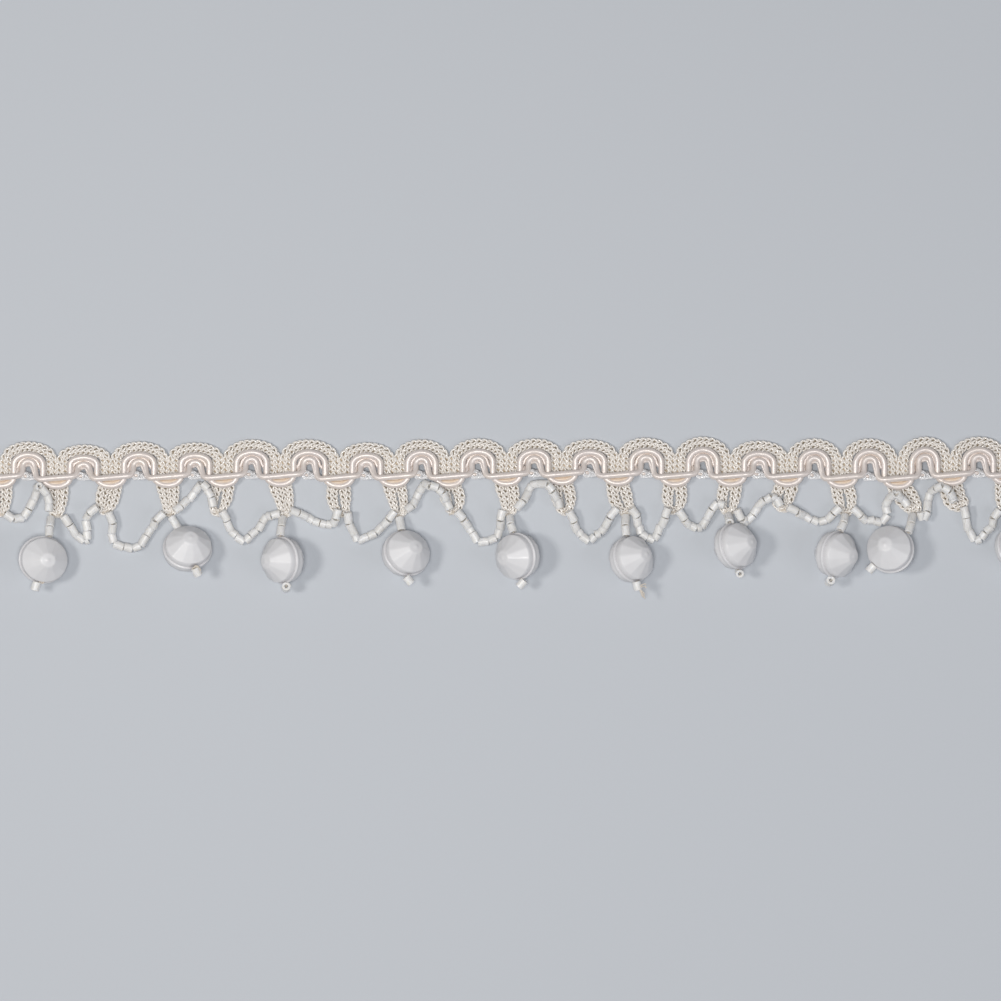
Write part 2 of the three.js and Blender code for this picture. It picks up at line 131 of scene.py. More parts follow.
# Each bead string from the foot of one loop to the next, joint by joint between its beads:
# across from the middle of the loop that it leaves, up, and its height off the surface.
STRINGS = (
    ((1.1, -0.1, OVER), (3.1, -1.3, BESIDE), (5.2, -1), (6.5, 1), (7.7, 3.1),
     (8.5, 5.6, BESIDE), (9.3, 6, CROSSING), (10.6, 4.4, OVER), (11.1, 2.2, OVER),
     (10.9, 0.5, OVER)),
    ((1.8, -0.4, OVER), (3, -2.6, BESIDE), (4.4, -4.9), (6.3, -6.4), (7.2, -6), (6.9, -4),
     (6.7, -1.5), (7.4, 0.1, BESIDE), (9.4, 1.7, OVER)),
    ((-0.3, 0.4, OVER), (0.6, -2.2, BESIDE), (0.2, -4.4), (0.8, -6.7), (3.1, -7.6),
     (5.1, -8.1), (6.9, -7.4), (8.3, -5.1), (9.5, -3.3), (10.4, -1.5, BESIDE),
     (12.2, 0.2, OVER)),
    ((1.7, 0.5, OVER), (3.3, 1.5, BESIDE), (4.7, 3.1), (6.2, 5.1), (7.8, 6.7, BESIDE),
     (9, 5.4, OVER), (9.9, 3.5, OVER), (10.6, 1.5, OVER)),
    ((-0.2, 0.6, OVER), (0.9, -1.7, BESIDE), (1.8, -3.8), (3, -5.1), (5, -6.3), (6.2, -5.1),
     (7.8, -3.8), (8.9, -2.2), (10, -0.6), (11.2, -0.6, BESIDE), (13, 0.1, OVER)),
    ((2.3, 0.6, OVER), (4.3, 0.1, BESIDE), (6.2, -0.7), (7.5, -1.9), (9.1, -2.3),
     (10.5, -2.5), (11.9, -2.5), (12.8, -1.2, BESIDE), (13.2, 1, OVER)),
    ((1.9, 0.3, OVER), (2.3, -2.2, BESIDE), (3.7, -4.9), (4.4, -6.3), (6.7, -5.1),
     (8.5, -4.4), (10.1, -3), (11.2, -1.3, BESIDE), (12.6, 0.6, OVER)),
    ((2.7, 0.6, OVER), (4.1, 1.7, BESIDE), (5, 3.1), (5.7, 4.9), (6.8, 6.7, BESIDE),
     (8.2, 6.3, CROSSING), (10, 5.6, CROSSING), (11.1, 4.8, CROSSING), (11.8, 2.8, OVER),
     (12.7, 0.8, OVER)),
    ((1.8, 0.6, OVER), (3.2, -1.4, BESIDE), (4.3, -3), (5.2, -4.4), (6.6, -6.5), (9.1, -6.3),
     (10.9, -5.6), (11.6, -3.5), (11.6, -1.5, BESIDE), (12.1, 0.8, OVER)),
    ((2.2, 1, OVER), (3.8, 2.8, BESIDE), (4.9, 4.9), (5.8, 6.5), (7.6, 6.9, BESIDE),
     (9.5, 6.6, CROSSING), (10.6, 5.1, CROSSING), (11.5, 3.3, OVER), (12.2, 1.3, OVER)),
    ((1.6, 0.6, OVER), (2.8, -1.9, BESIDE), (3.5, -4), (4.4, -5.1), (6.4, -6.3), (7.6, -5.1),
     (8.7, -4.4), (9.8, -3.1), (11, -1, BESIDE), (12.6, 1.3, OVER)),
    ((3, 1.3, OVER), (4.3, -0.8, BESIDE), (4.6, -2.8), (5.2, -4.7), (6.8, -5.5), (8.4, -6),
     (8.9, -4.7), (9.8, -2.8), (10.7, -0.8, BESIDE), (11.6, 1.3, OVER)),
    ((0.9, 0.8, OVER), (2, -1.5, BESIDE), (3.4, -2.8), (5, -3.5), (6.1, -3.3), (7.1, -1.3),
     (8.4, 1, BESIDE), (9.8, 2.4, OVER), (11.2, 1.7, OVER)),
    ((1.4, 1, OVER), (2.6, -1.3, BESIDE), (3.7, -2.2), (5.1, -0.3), (6.4, 1.5),
     (7.8, 3.1, BESIDE), (9.2, 3.9, OVER), (10.3, 3.5, OVER), (11.4, 1.7, OVER)),
    ((0.1, 1.7, OVER), (2.2, 0.3, BESIDE), (3.8, -0.3), (5.6, -1.4), (7.2, -1.9), (9, -1.5),
     (10.4, 0.1, BESIDE), (12, 1.5, OVER)),
    ((2.5, 1.3, OVER), (4.4, -0.6, BESIDE), (5.7, -1.7), (7.5, -1.6), (9.1, -2.2),
     (10.3, -0.1), (9.9, 1.9), (10.7, 3.5, BESIDE), (12.3, 4.4, CROSSING), (13.7, 3.5, OVER),
     (15.1, 1.8, OVER)),
    ((5.1, 0.4, OVER), (5.7, -1.4, BESIDE), (6.7, 0.4, BESIDE), (6.9, 2.8), (7.4, 4.7),
     (8.6, 5.7, OVER), (10.2, 6.2, CROSSING), (11.6, 5.1, CROSSING), (12.3, 3.6, OVER),
     (12.8, 2.6, OVER)),
    ((2.7, 1.5, OVER), (3.5, -1, BESIDE), (4.1, -3.8), (5.4, -6.3), (6.8, -5.6),
     (7.9, -4.4), (9.5, -3.1), (9.5, -1, BESIDE), (10.9, 0.8, OVER)),
)

# The pendants: the loop that each hangs from and how far to the side of its foot, the ball's
# centre, the swing of its thread away from straight down, how far the ball has rolled about
# the thread and pitched towards the loop, in degrees, the way the stopper's hole points, how
# far round the ball's cuts are turned, and how far the stopper sits to the side.
PENDANT_COLUMNS = ("loop", "side", "x", "y", "swing", "roll", "pitch", "stopper", "cut_turn",
                   "aside")
PENDANT_ROWS = (
    (1, -1.2, -106.9, -10.5, -15, 18, 4, (0.3, 1, 0.1), 0, 0.0),
    (3, 0.3, -74.1, -8.0, 25, 24, 25, (-0.5, 1, 0.3), 8, -0.2),
    (5, -0.5, -52.5, -10.6, 5, -49, 2, (0.1, 0.3, 1), 4, 0.3),
    (7, 0.0, -24.5, -9.1, 11, 32, 15, (-0.8, 1, 0.2), 10, -0.5),
    (9, 0.2, 0.9, -9.7, 9, -44, 3, (0.9, 1, 0.2), 2, 0.0),
    (11, 0.0, 26.8, -10.4, 12, 45, 8, (-0.2, 1, 0.1), 6, 0.0),
    (13, 0.0, 50.4, -7.4, 13, 50, 4, (0.1, -0.3, 1), 12, -0.5),
    (15, -0.3, 73.3, -9.3, -9, 50, 3, (0.2, 0.3, 1), 3, -0.45),
    (16, -0.3, 85.7, -8.2, -46, -25, -4, (0.9, 1, 0.1), 9, 0.0),
    (18, 0.3, 114.7, -7.6, 15, 30, 6, (-0.3, 1, 0.2), 5, 0.0),
)
PENDANTS = [dict(zip(PENDANT_COLUMNS, row)) for row in PENDANT_ROWS]


def length(name, description, value, least):
    return FloatProperty(
        name=name, description=description, default=value, min=least, subtype="DISTANCE",
        unit="LENGTH")


def colour(name, description, value):
    return FloatVectorProperty(
        name=name, description=description, default=value, size=3, min=0, max=1,
        subtype="COLOR")


class TrimSizes(PropertyGroup):
    """Sizes of the yarn, thread and bead details that sit on the trim's frame."""

    course: length("Course", "Tape used up by each row of knitting", 1.2 * MM, 0.6 * MM)
    yarn: length("Yarn", "Radius of the knitting yarn", 0.25 * MM, 0.05 * MM)
    cord: length("Satin cord", "Radius of the two satin cords", 0.7 * MM, 0.3 * MM)
    ply: length("Loose ply", "Radius of the ply beside the inner cord", 0.34 * MM, 0.1 * MM)
    filler: length("Filler cord", "Radius of the filler between cords", 0.42 * MM, 0.1 * MM)
    thread: length("Bead thread", "Radius of the thread in the beads", 0.14 * MM, 0.03 * MM)
    bore: length("Bead bore", "Radius of the hole through a bead", 0.42 * MM, 0.1 * MM)
    tie: length("Tie thread", "Radius of the clear thread", 0.15 * MM, 0.03 * MM)
    floor: length("Floor", "Side of the square floor", 6.0, 1.0)
    seed: IntProperty(
        name="Seed", description="Starts the unevenness of beads and threads", default=7)


class TrimColours(PropertyGroup):
    """Colours of the trim's yarns, cords, beads and floor, and of the shade painted into their
    crevices.
    """

    yarn: colour("Knitting yarn", "Lustrous cream yarn", (0.985, 0.96, 0.93))
    # painted shade: the yarn's tone deep between the stitches
    yarn_shade: colour("Yarn shade", "Yarn deep between stitches", (0.47, 0.37, 0.27))
    # painted shade: the dark sheet inside the tape, seen through the stitches
    core: colour("Tape core", "Filler inside the knitted tape", (0.19, 0.16, 0.11))
    satin: colour("Satin", "Satin cord", (0.74, 0.665, 0.63))
    # painted shade: warm tan where the cords press together
    satin_shade: colour("Satin shade", "Satin where cords press together", (0.62, 0.45, 0.31))
    # tan, partly the filler's own tone and partly painted shade of the gap between bar and dip
    filler: colour("Filler", "Filler between the satin cords", (0.74, 0.59, 0.44))
    bead: colour("Bead", "Cylinder beads", (0.87, 0.87, 0.865))
    # painted shade: dull tan in the beads' crevices and the gaps between them
    bead_end: colour("Bead ends", "Rough cut ends of the beads", (0.66, 0.60, 0.51))
    ball: colour("Ball", "Moulded ball", (0.775, 0.775, 0.79))
    thread: colour("Thread", "Thread through the beads", (0.69, 0.62, 0.53))
    tie: colour("Tie", "Clear thread that ties the bars", (0.93, 0.93, 0.94))
    floor: colour("Floor", "Plain pale floor", (0.58, 0.61, 0.65))


def sizes():
    return bpy.context.scene.trim_sizes


def colours():
    return bpy.context.scene.trim_colours


# Lines ------------------------------------------------------------------------------------


def arch(x, half_width, base, height, power, steps):
    """A rounded arch over x, on a spring line whose height base gives."""
    points = []
    for i in range(steps + 1):
        angle = math.pi * (1 - i / steps)
        cosine, sine = math.cos(angle), math.sin(angle)
        px = x + half_width * math.copysign(abs(cosine) ** (2 / power), cosine)
        points.append((px, base(px) + height * abs(sine) ** (2 / power)))
    return points


class Scallop:
    """One scallop: the loops on its left and right, the height of its edge and its middle."""

    def __init__(self, left, right, top):
        self.left, self.right, self.top = left, right, top
        self.middle = (left["x"] + right["x"]) / 2
        self.half_width = (right["x"] - left["x"]) / 2

    def rise(self, x):
        """How far the heading wanders up at x."""
        left, right = self.left, self.right
        slope = (right["rise"] - left["rise"]) / (right["x"] - left["x"])
        return left["rise"] + slope * (x - left["x"])

    def arch(self, half_width, foot, crown, power=CORD_ARCH_POWER, steps=16):
        """An arch up to the crown, on feet that wander with the heading."""
        height = crown - foot - self.rise(self.middle)
        return arch(self.middle, half_width, lambda x: foot + self.rise(x), height, power, steps)


SCALLOPS = [Scallop(*row) for row in zip(LOOPS, LOOPS[1:], SCALLOP_TOPS)]


def distances(line):
    """How far along a line each of its points lies."""
    return np.concatenate([[0], np.cumsum(np.linalg.norm(np.diff(line, axis=0), axis=1))])


def spaced(line, step):
    """The line's columns at even distances along its first three coordinates."""
    line = np.asarray(line, float)
    along = distances(line[:, :3])
    at = np.linspace(0, along[-1], max(2, round(along[-1] / step) + 1))
    return np.stack([np.interp(at, along, column) for column in line.T], 1)


def eased(line, width):
    """The line with its kinks drawn out over a number of points."""
    pad = width // 2
    weights = np.hanning(2 * pad + 3)[1:-1]
    weights /= weights.sum()
    before = 2 * line[0] - line[pad:0:-1]
    after = 2 * line[-1] - line[-2 : -pad - 2 : -1]
    padded = np.concatenate([before, line, after])
    return np.stack([np.convolve(column, weights, "valid") for column in padded.T], 1)


EDGE_OVERLAP = 0.05  # the edges of neighbouring scallops press into each other
LEG_OVERLAP = 0.22  # and those of the legs below them
LEG_PRESS_Y = 12.2
SLIT_START = 0.4  # how far down its legs a loop's slit is fully open


def loop_line(loop, leg_steps=16, foot_steps=20):
    """Rows of x, y and half width down one leg of a loop, round its foot and back up."""
    leg = TAPE_WIDTH / 2
    slit = loop["slit"]
    waist = (loop["width"] - slit) / 4
    foot_radius = FOOT_NARROWING * loop["width"] / 2
    foot = (foot_radius - slit / 2) / 2
    spread = leg + LEG_OVERLAP - EDGE_OVERLAP
    heads = np.array([
        (loop["x"], LEG_END_Y),
        (loop["x"] + loop["waist"], WAIST_Y),
        (loop["x"] + loop["foot"], loop["bottom"] + foot_radius),
    ])
    # one smooth curve through the three points
    knots = np.linspace(0, 1, leg_steps + 1)
    first, middle, last = heads
    bend = 2 * middle - (first + last) / 2
    u = knots[:, None]
    spine = (1 - u) ** 2 * first + 2 * u * (1 - u) * bend + u**2 * last
    slope = np.gradient(spine, axis=0)
    slope /= np.linalg.norm(slope, axis=1)[:, None]
    legs = []
    for side in (-1, 1):
        line = [
            (loop["x"] + side * (leg - EDGE_OVERLAP), TAPE_SPRING_Y + loop["rise"], leg),
            (loop["x"] + side * (leg - LEG_OVERLAP), LEG_PRESS_Y + loop["rise"], spread)]
        for t, at, way in zip(knots, spine, slope):
            half = np.interp(t, (0, 0.5, 1), (spread, waist, foot))
            out = half + np.interp(t, (0, SLIT_START), (-LEG_OVERLAP, slit / 2))
            line.append((at[0] - side * out * way[1], at[1] + side * out * way[0], half))
        legs.append(line)
    lean = math.atan2(slope[-1][0], -slope[-1][1])
    out = foot + slit / 2
    turn = []
    for i in range(1, foot_steps):
        angle = math.pi + i * math.pi / foot_steps + lean
        turn.append((spine[-1][0] + out * math.cos(angle),
                     spine[-1][1] + out * math.sin(angle), foot))
    return legs[0] + turn + legs[1][::-1]


def tape_line():
    """Rows of x, y and half width along the whole tape."""
    leg = TAPE_WIDTH / 2
    line = loop_line(LOOPS[0])
    for scallop in SCALLOPS:
        over = scallop.arch(scallop.half_width - leg + EDGE_OVERLAP, TAPE_SPRING_Y,
                            scallop.top - leg, TAPE_ARCH_POWER, 32)
        line += [(x, y, leg) for x, y in over[1:-1]]
        line += loop_line(scallop.right)
    return line


# Surfaces ---------------------------------------------------------------------------------


class Stock:
    """Surfaces gathered for one piece, in millimetres, with a map along and around them."""

    def __init__(self):
        self.points, self.faces, self.maps, self.count = [], [], [], 0

    def add(self, points, faces, maps):
        points = np.asarray(points, float)
        self.points.append(points)
        self.faces += [[self.count + i for i in face] for face in faces]
        self.maps += maps
        self.count += len(points)

    def piece(self, name, slot, material, *nodes):
        """Makes the piece, rides it on the trim and hides the frame's parts that it stands for.
        """
        mesh = bpy.data.meshes.new(name)
        points = np.concatenate(self.points) * MM
        mesh.from_pydata(points.tolist(), [], self.faces)
        layer = mesh.uv_layers.new(name="Lay")
        layer.uv.foreach_set("vector", np.asarray(self.maps, np.float32).ravel())
        mesh.shade_smooth()
        mesh.materials.append(material)
        piece = bpy.data.objects.new(name, mesh)
        bpy.context.scene.collection.objects.link(piece)
        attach(piece, BODY)
        if nodes:
            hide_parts(*nodes)
        return piece


def frames(points):
    """Two directions across a line at each point, carried along it without twist."""
    ways = np.gradient(points, axis=0)
    ways /= np.linalg.norm(ways, axis=1)[:, None]
    side = np.cross(ways[0], (0.0, 0.0, 1.0))
    if np.linalg.norm(side) < 0.1:
        side = np.cross(ways[0], (0.0, 1.0, 0.0))
    sides = np.empty_like(points)
    for i, way in enumerate(ways):
        side = side - way * (side @ way)
        side = side / math.sqrt(side @ side)
        sides[i] = side
    return sides, np.cross(sides, ways)


def skin(stock, rings, along, joined=False, tips=None):
    """Adds a skin over rings of points, with the place along the map of each. The last ring
    is joined to the first, or the ends are closed flat or, with tips, to a point each."""
    rows, count = rings.shape[:2]
    points = rings.reshape(-1, 3)
    faces, maps = [], []
    for i in range(rows if joined else rows - 1):
        n = (i + 1) % rows
        here, there = i * count, n * count
        for j in range(count):
            k = (j + 1) % count
            faces.append((here + j, here + k, there + k, there + j))
            low, high = j / count, (j + 1) / count
            maps += [(along[i], low), (along[i], high), (along[n], high), (along[n], low)]
    ends = [list(range(count - 1, -1, -1)), list(range(len(points) - count, len(points)))]
    if joined:
        ends = []
    for side, end in enumerate(ends):
        if tips is None:
            faces.append(end)
            maps += [(along[-side], 0)] * count
        else:
            tip = len(points) + side
            faces += [(a, b, tip) for a, b in zip(end, end[1:] + end[:1])]
            maps += [(along[-side], 0)] * 3 * count
    if tips is not None:
        points = np.concatenate([points, tips])
    stock.add(points, faces, maps)


def tube(stock, points, radius, count):
    """Adds a closed tube along the points, with a count of sides."""
    points = np.asarray(points, float)
    side, up = frames(points)
    angles = np.arange(count) * 2 * math.pi / count
    radii = np.broadcast_to(radius, len(points))[:, None, None]
    rings = points[:, None, :] + radii * (
        np.cos(angles)[None, :, None] * side[:, None, :]
        + np.sin(angles)[None, :, None] * up[:, None, :])
    skin(stock, rings, distances(points))


def laid(stock, route, step, ease, radius, count):
    """Adds a tube along a route, in steps of one length and with its kinks eased."""
    tube(stock, eased(spaced(route, step), ease), radius, count)


def turned(stock, profile, sides, place):
    """Adds a closed profile of (radius, height) turned about Z, put where place says."""
    radius, height = np.asarray(profile, float).T[:, :, None]
    angles = np.arange(sides) * 2 * math.pi / sides
    rings = np.stack(np.broadcast_arrays(
        np.cos(angles) * radius, np.sin(angles) * radius, height), 2)
    turn = np.array(place.to_3x3())
    skin(stock, rings @ turn.T + np.array(place.translation), height[:, 0], joined=True)


# Materials --------------------------------------------------------------------------------


class Finish:
    """A material's nodes, made and joined in short steps."""

    def __init__(self, name, roughness, **constants):
        self.material = bpy.data.materials.new(name)
        self.material.use_nodes = True
        self.tree = self.material.node_tree
        self.shader = self.tree.nodes["Principled BSDF"]
        self.shader.inputs["Roughness"].default_value = roughness
        for socket, value in constants.items():
            self.shader.inputs[socket.replace("_", " ")].default_value = value

    def node(self, kind, **settings):
        """A new node. A setting is a property or, where it names a socket, its value."""
        made = self.tree.nodes.new("ShaderNode" + kind)
        for key, value in settings.items():
            if hasattr(made, key):
                setattr(made, key, value)
            else:
                self.join(value, made.inputs[key.replace("_", " ")])
        return made

    def join(self, source, socket):
        if isinstance(source, bpy.types.Node):
            source = next(o for o in source.outputs if o.enabled)
        if isinstance(source, bpy.types.NodeSocket):
            self.tree.links.new(source, socket)
        elif socket.type == "RGBA":
            socket.default_value = (*source, 1)
        else:
            socket.default_value = source

    def lay(self, along, around):
        """The map along and around a piece, stretched: along in turns a millimetre."""
        held = self.node("UVMap", uv_map="Lay")
        return self.node("Mapping", Vector=held, Scale=(along, around, 1))

    def place(self):
        """The place in the trim, in millimetres."""
        held = self.node("TexCoord")
        return self.node("Mapping", Vector=held.outputs["Object"], Scale=(1 / MM,) * 3)

    def noise(self, vector, scale, detail=2, roughness=0.5):
        return self.node("TexNoise", Vector=vector, Scale=scale, Detail=detail,
                         Roughness=roughness).outputs[0]

    def twist(self, vector, scale, **settings):
        """Slanting bands, from 0 between them to 1."""
        return self.node("TexWave", Vector=vector, Scale=scale, bands_direction="DIAGONAL",
                         **settings).outputs["Fac"]

    def spread(self, value, low, high, to_low=0.0, to_high=1.0):
        node = self.node("MapRange")
        for key, number in (("Value", value), ("From Min", low), ("From Max", high),
                            ("To Min", to_low), ("To Max", to_high)):
            self.join(number, node.inputs[key])
        return node.outputs[0]

    def mixed(self, amount, first, second):
        node = self.node("Mix", data_type="RGBA")
        for key, value in (("Factor_Float", amount), ("A_Color", first), ("B_Color", second)):
            self.join(value, next(s for s in node.inputs if s.identifier == key))
        return next(s for s in node.outputs if s.identifier == "Result_Color")

    def maths(self, operation, first, second=0.0):
        node = self.node("Math", operation=operation)
        self.join(first, node.inputs[0])
        self.join(second, node.inputs[1])
        return node.outputs[0]

    def crevice(self, reach):
        """How open the surface is to its surroundings, from 0 deep in a crevice to 1. The
        finishes paint shade where it is low.
        """
        node = self.node("AmbientOcclusion", samples=6, Distance=reach * MM)
        return node.outputs["AO"]

    def heading(self):
        """1 between the bars and the scallops' edges, where the tape is backed, 0 elsewhere; the
        painted shade is lighter there.
        """
        height = self.node("SeparateXYZ", Vector=self.place()).outputs["Y"]
        above = self.spread(height, BAR_Y - 1, BAR_Y + 1)
        below = self.spread(height, TAPE_SPRING_Y - 0.5, TAPE_SPRING_Y + 1.5, 1.0, 0.0)
        return self.maths("MULTIPLY", above, below)

    def bump(self, height, strength, depth):
        node = self.node("Bump", Height=height, Strength=strength, Distance=depth * MM)
        self.join(node, self.shader.inputs["Normal"])

    def done(self, base, roughness=None):
        self.join(base, self.shader.inputs["Base Color"])
        if roughness is not None:
            self.join(roughness, self.shader.inputs["Roughness"])
        return self.material


def kept(make):
    """One material for each finish, made when it is first asked for."""

    def fetch():
        name = f"trim_{make.__name__}"
        return bpy.data.materials.get(name) or make(name)

    return fetch


@kept
def knitting_yarn(name):
    """Lustrous two-ply yarn, with painted shade: tan deep between the stitches, lighter in the
    heading.
    """
    f = Finish(name, 0.4, Sheen_Weight=0.3, Sheen_Roughness=0.35, Specular_IOR_Level=0.9,
               Coat_Weight=0.9, Coat_Roughness=0.14)
    plies = f.twist(f.lay(1.3, 1.26), 1.0, Distortion=0.4)
    fibres = f.noise(f.lay(0.7, 9.0), 2.2, 3, 0.65)
    uneven = f.noise(f.place(), 0.45, 3)
    unshaded = f.spread(f.crevice(0.5), 0.15, 0.72)
    tone = f.mixed(f.spread(uneven, 0.35, 0.7, 0.0, 0.5), colours().yarn, (0.94, 0.905, 0.86))
    tone = f.mixed(f.spread(fibres, 0.36, 0.5), (0.94, 0.90, 0.845), tone)
    # painted shade: darker in the grooves between the plies
    tone = f.mixed(f.spread(plies, 0.0, 0.3), (0.82, 0.75, 0.66), tone)
    # painted shade in the crevices between stitches, lighter in the heading
    shade = f.mixed(f.heading(), colours().yarn_shade, (0.81, 0.71, 0.59))
    tone = f.mixed(unshaded, shade, tone)
    f.bump(f.maths("ADD", plies, f.maths("MULTIPLY", fibres, 1.6)), 0.6, 0.06)
    return f.done(tone, f.spread(fibres, 0.3, 0.7, 0.2, 0.36))


@kept
def tape_core(name):
    """A dark sheet inside the tube that paints the shade seen through the stitches: dark specks
    through the loops' stitches, tan ones in the heading, where the tape is backed.
    """
    f = Finish(name, 0.9)
    fluff = f.noise(f.place(), 3.0, 4)
    f.bump(fluff, 0.8, 0.1)
    # painted shade, lighter in the heading where the tape is backed
    tone = f.mixed(f.heading(), colours().core, (0.70, 0.58, 0.44))
    return f.done(f.mixed(f.spread(fluff, 0.35, 0.65), tone, (0.30, 0.24, 0.17)))


@kept
def wrapped_satin(name):
    """Wrapped satin: fine wraps round the cord, long soft filaments, and tan painted shade in its
    crevices.
    """
    f = Finish(name, 0.4, Metallic=0.15, Sheen_Weight=0.4, Sheen_Roughness=0.3,
               Specular_IOR_Level=0.75)
    filaments = f.noise(f.lay(0.35, 14.0), 1.6, 3, 0.6)
    wraps = f.twist(f.lay(6.0, 2.0), 0.5, Distortion=2.5, Detail=2.0)
    uneven = f.noise(f.place(), 0.3, 2)
    unshaded = f.spread(f.crevice(0.4), 0.04, 0.36)
    tone = f.mixed(f.spread(filaments, 0.35, 0.65, 0.0, 0.7), colours().satin,
                   (0.88, 0.82, 0.79))
    tone = f.mixed(f.spread(uneven, 0.42, 0.65, 0.0, 0.35), tone, (0.86, 0.77, 0.68))
    # painted shade, tan, in the crevices
    tone = f.mixed(unshaded, colours().satin_shade, tone)
    f.bump(f.maths("ADD", filaments, f.maths("MULTIPLY", wraps, 0.16)), 0.55, 0.07)
    return f.done(tone, f.spread(filaments, 0.3, 0.7, 0.26, 0.42))


@kept
def filler_cord(name):
    """Dull filler yarn, its tan partly its own tone and partly painted shade of the gap it fills,
    with orange-tan painted shade in its creases.
    """
    f = Finish(name, 0.55, Sheen_Weight=0.2)
    strands = f.noise(f.lay(0.5, 9.0), 1.4, 3, 0.6)
    unshaded = f.spread(f.crevice(0.4), 0.03, 0.35)
    tone = f.mixed(f.spread(strands, 0.35, 0.65), colours().filler, (0.86, 0.75, 0.64))
    # painted shade: orange-tan in the creases
    tone = f.mixed(unshaded, (0.66, 0.42, 0.20), tone)
    f.bump(strands, 0.25, 0.06)
    return f.done(tone)


@kept
def cylinder_bead(name):
    """Slightly clouded white plastic with fine drawn lines, and dull tan painted shade in its
    crevices, the gaps between beads among them.
    """
    f = Finish(name, 0.3, Subsurface_Weight=0.35, Subsurface_Scale=0.5 * MM,
               Specular_IOR_Level=0.5)
    f.shader.inputs["Subsurface Radius"].default_value = (1.0, 0.95, 0.85)
    drawn = f.noise(f.lay(0.8, 15.0), 1.0, 2)
    cloud = f.noise(f.place(), 0.8, 2)
    batch = f.noise(f.place(), 0.32, 1)
    tone = f.mixed(f.spread(cloud, 0.35, 0.7), colours().bead, (0.93, 0.93, 0.92))
    tone = f.mixed(f.spread(batch, 0.38, 0.62, 0.0, 0.7), tone, (0.79, 0.78, 0.76))
    tone = f.mixed(f.spread(drawn, 0.34, 0.48), (0.72, 0.71, 0.69), tone)
    unshaded = f.spread(f.crevice(0.4), 0.15, 0.65)
    # painted shade in the crevices, the gaps between beads among them
    tone = f.mixed(unshaded, colours().bead_end, tone)
    f.bump(drawn, 0.8, 0.07)
    return f.done(tone, f.spread(drawn, 0.3, 0.7, 0.24, 0.42))


@kept
def moulded_ball(name):
    """Opaque cool white acrylic, softly glossy, with faint flow marks from its mould and grey
    painted shade in its crevices, as beside the ridge.
    """
    f = Finish(name, 0.34, Subsurface_Weight=0.15, Subsurface_Scale=1.0 * MM,
               Specular_IOR_Level=0.5, Coat_Weight=0.1, Coat_Roughness=0.12)
    f.shader.inputs["Subsurface Radius"].default_value = (1.0, 0.95, 0.95)
    flow = f.noise(f.place(), 0.25, 3)
    grain = f.noise(f.place(), 1.4, 2)
    unshaded = f.spread(f.crevice(1.0), 0.55, 0.97)
    tone = f.mixed(f.spread(flow, 0.35, 0.7), colours().ball, (0.82, 0.82, 0.835))
    # painted shade: grey where the ball is enclosed, as beside its ridge
    tone = f.mixed(unshaded, (0.48, 0.47, 0.49), tone)
    f.bump(flow, 0.06, 0.15)
    return f.done(tone, f.spread(grain, 0.3, 0.7, 0.36, 0.46))


@kept
def bead_thread(name):
    """Waxed tan thread with a tight twist."""
    f = Finish(name, 0.6)
    twist = f.twist(f.lay(5.0, 1.0), 1.0)
    f.bump(twist, 0.5, 0.03)
    return f.done(f.mixed(twist, colours().thread, (0.79, 0.73, 0.65)))


@kept
def clear_tie(name):
    """Clear nylon thread, which reads as white with grey between."""
    f = Finish(name, 0.14, Transmission_Weight=0.28, IOR=1.45, Specular_IOR_Level=0.8)
    streak = f.noise(f.lay(0.6, 4.0), 2.0, 2)
    f.bump(streak, 0.3, 0.03)
    return f.done(f.mixed(streak, colours().tie, (0.97, 0.97, 0.98)))


@kept
def plain_floor(name):
    """Matt card with a barely seen tooth."""
    f = Finish(name, 0.9, Specular_IOR_Level=0.2)
    tooth = f.noise(f.place(), 1.2, 3)
    f.bump(tooth, 0.1, 0.05)
    return f.done(f.mixed(f.spread(tooth, 0.3, 0.7, 0.0, 0.1), colours().floor,
                          (0.61, 0.64, 0.68)))


# Pieces -----------------------------------------------------------------------------------

TAPE_MIDDLE_Z = 0.69
TAPE_HALF_DEPTH = 0.25
WALES = 4  # columns of stitches round the flattened tube, two of them on its face
STITCH_STEPS = 16
STRETCHES = 4  # the tape's knitting is cut into this many pieces


def tube_section(nominal):
    """Places, and directions out, round a flattened tube: (across, up, out across, out up)."""
    straight = nominal - TAPE_HALF_DEPTH
    bend = np.linspace(0, math.pi / 2, 12)
    across = np.concatenate([[0], straight + TAPE_HALF_DEPTH * np.sin(bend)])
    up = np.concatenate([[TAPE_HALF_DEPTH], TAPE_HALF_DEPTH * np.cos(bend)])
    out_across = np.concatenate([[0], np.sin(bend)])
    out_up = np.concatenate([[1], np.cos(bend)])
    quarter = np.stack([across, up, out_across, out_up], 1)
    along = distances(quarter[:, :2])
    return along / along[-1], quarter


def around_section(turn, nominal):
    """The tube's section at turns from 0 at the middle of its face, once round for each 1."""
    share, quarter = tube_section(nominal)
    part = (turn % 1.0) * 4
    side = part.astype(int)
    within = part - side
    rising = np.where(side % 2 == 0, within, 1 - within)
    across, up, out_across, out_up = (np.interp(rising, share, c) for c in quarter.T)
    left = np.where(side >= 2, -1.0, 1.0)
    below = np.where((side == 1) | (side == 2), -1.0, 1.0)
    return across * left, up * below, out_across * left, out_up * below


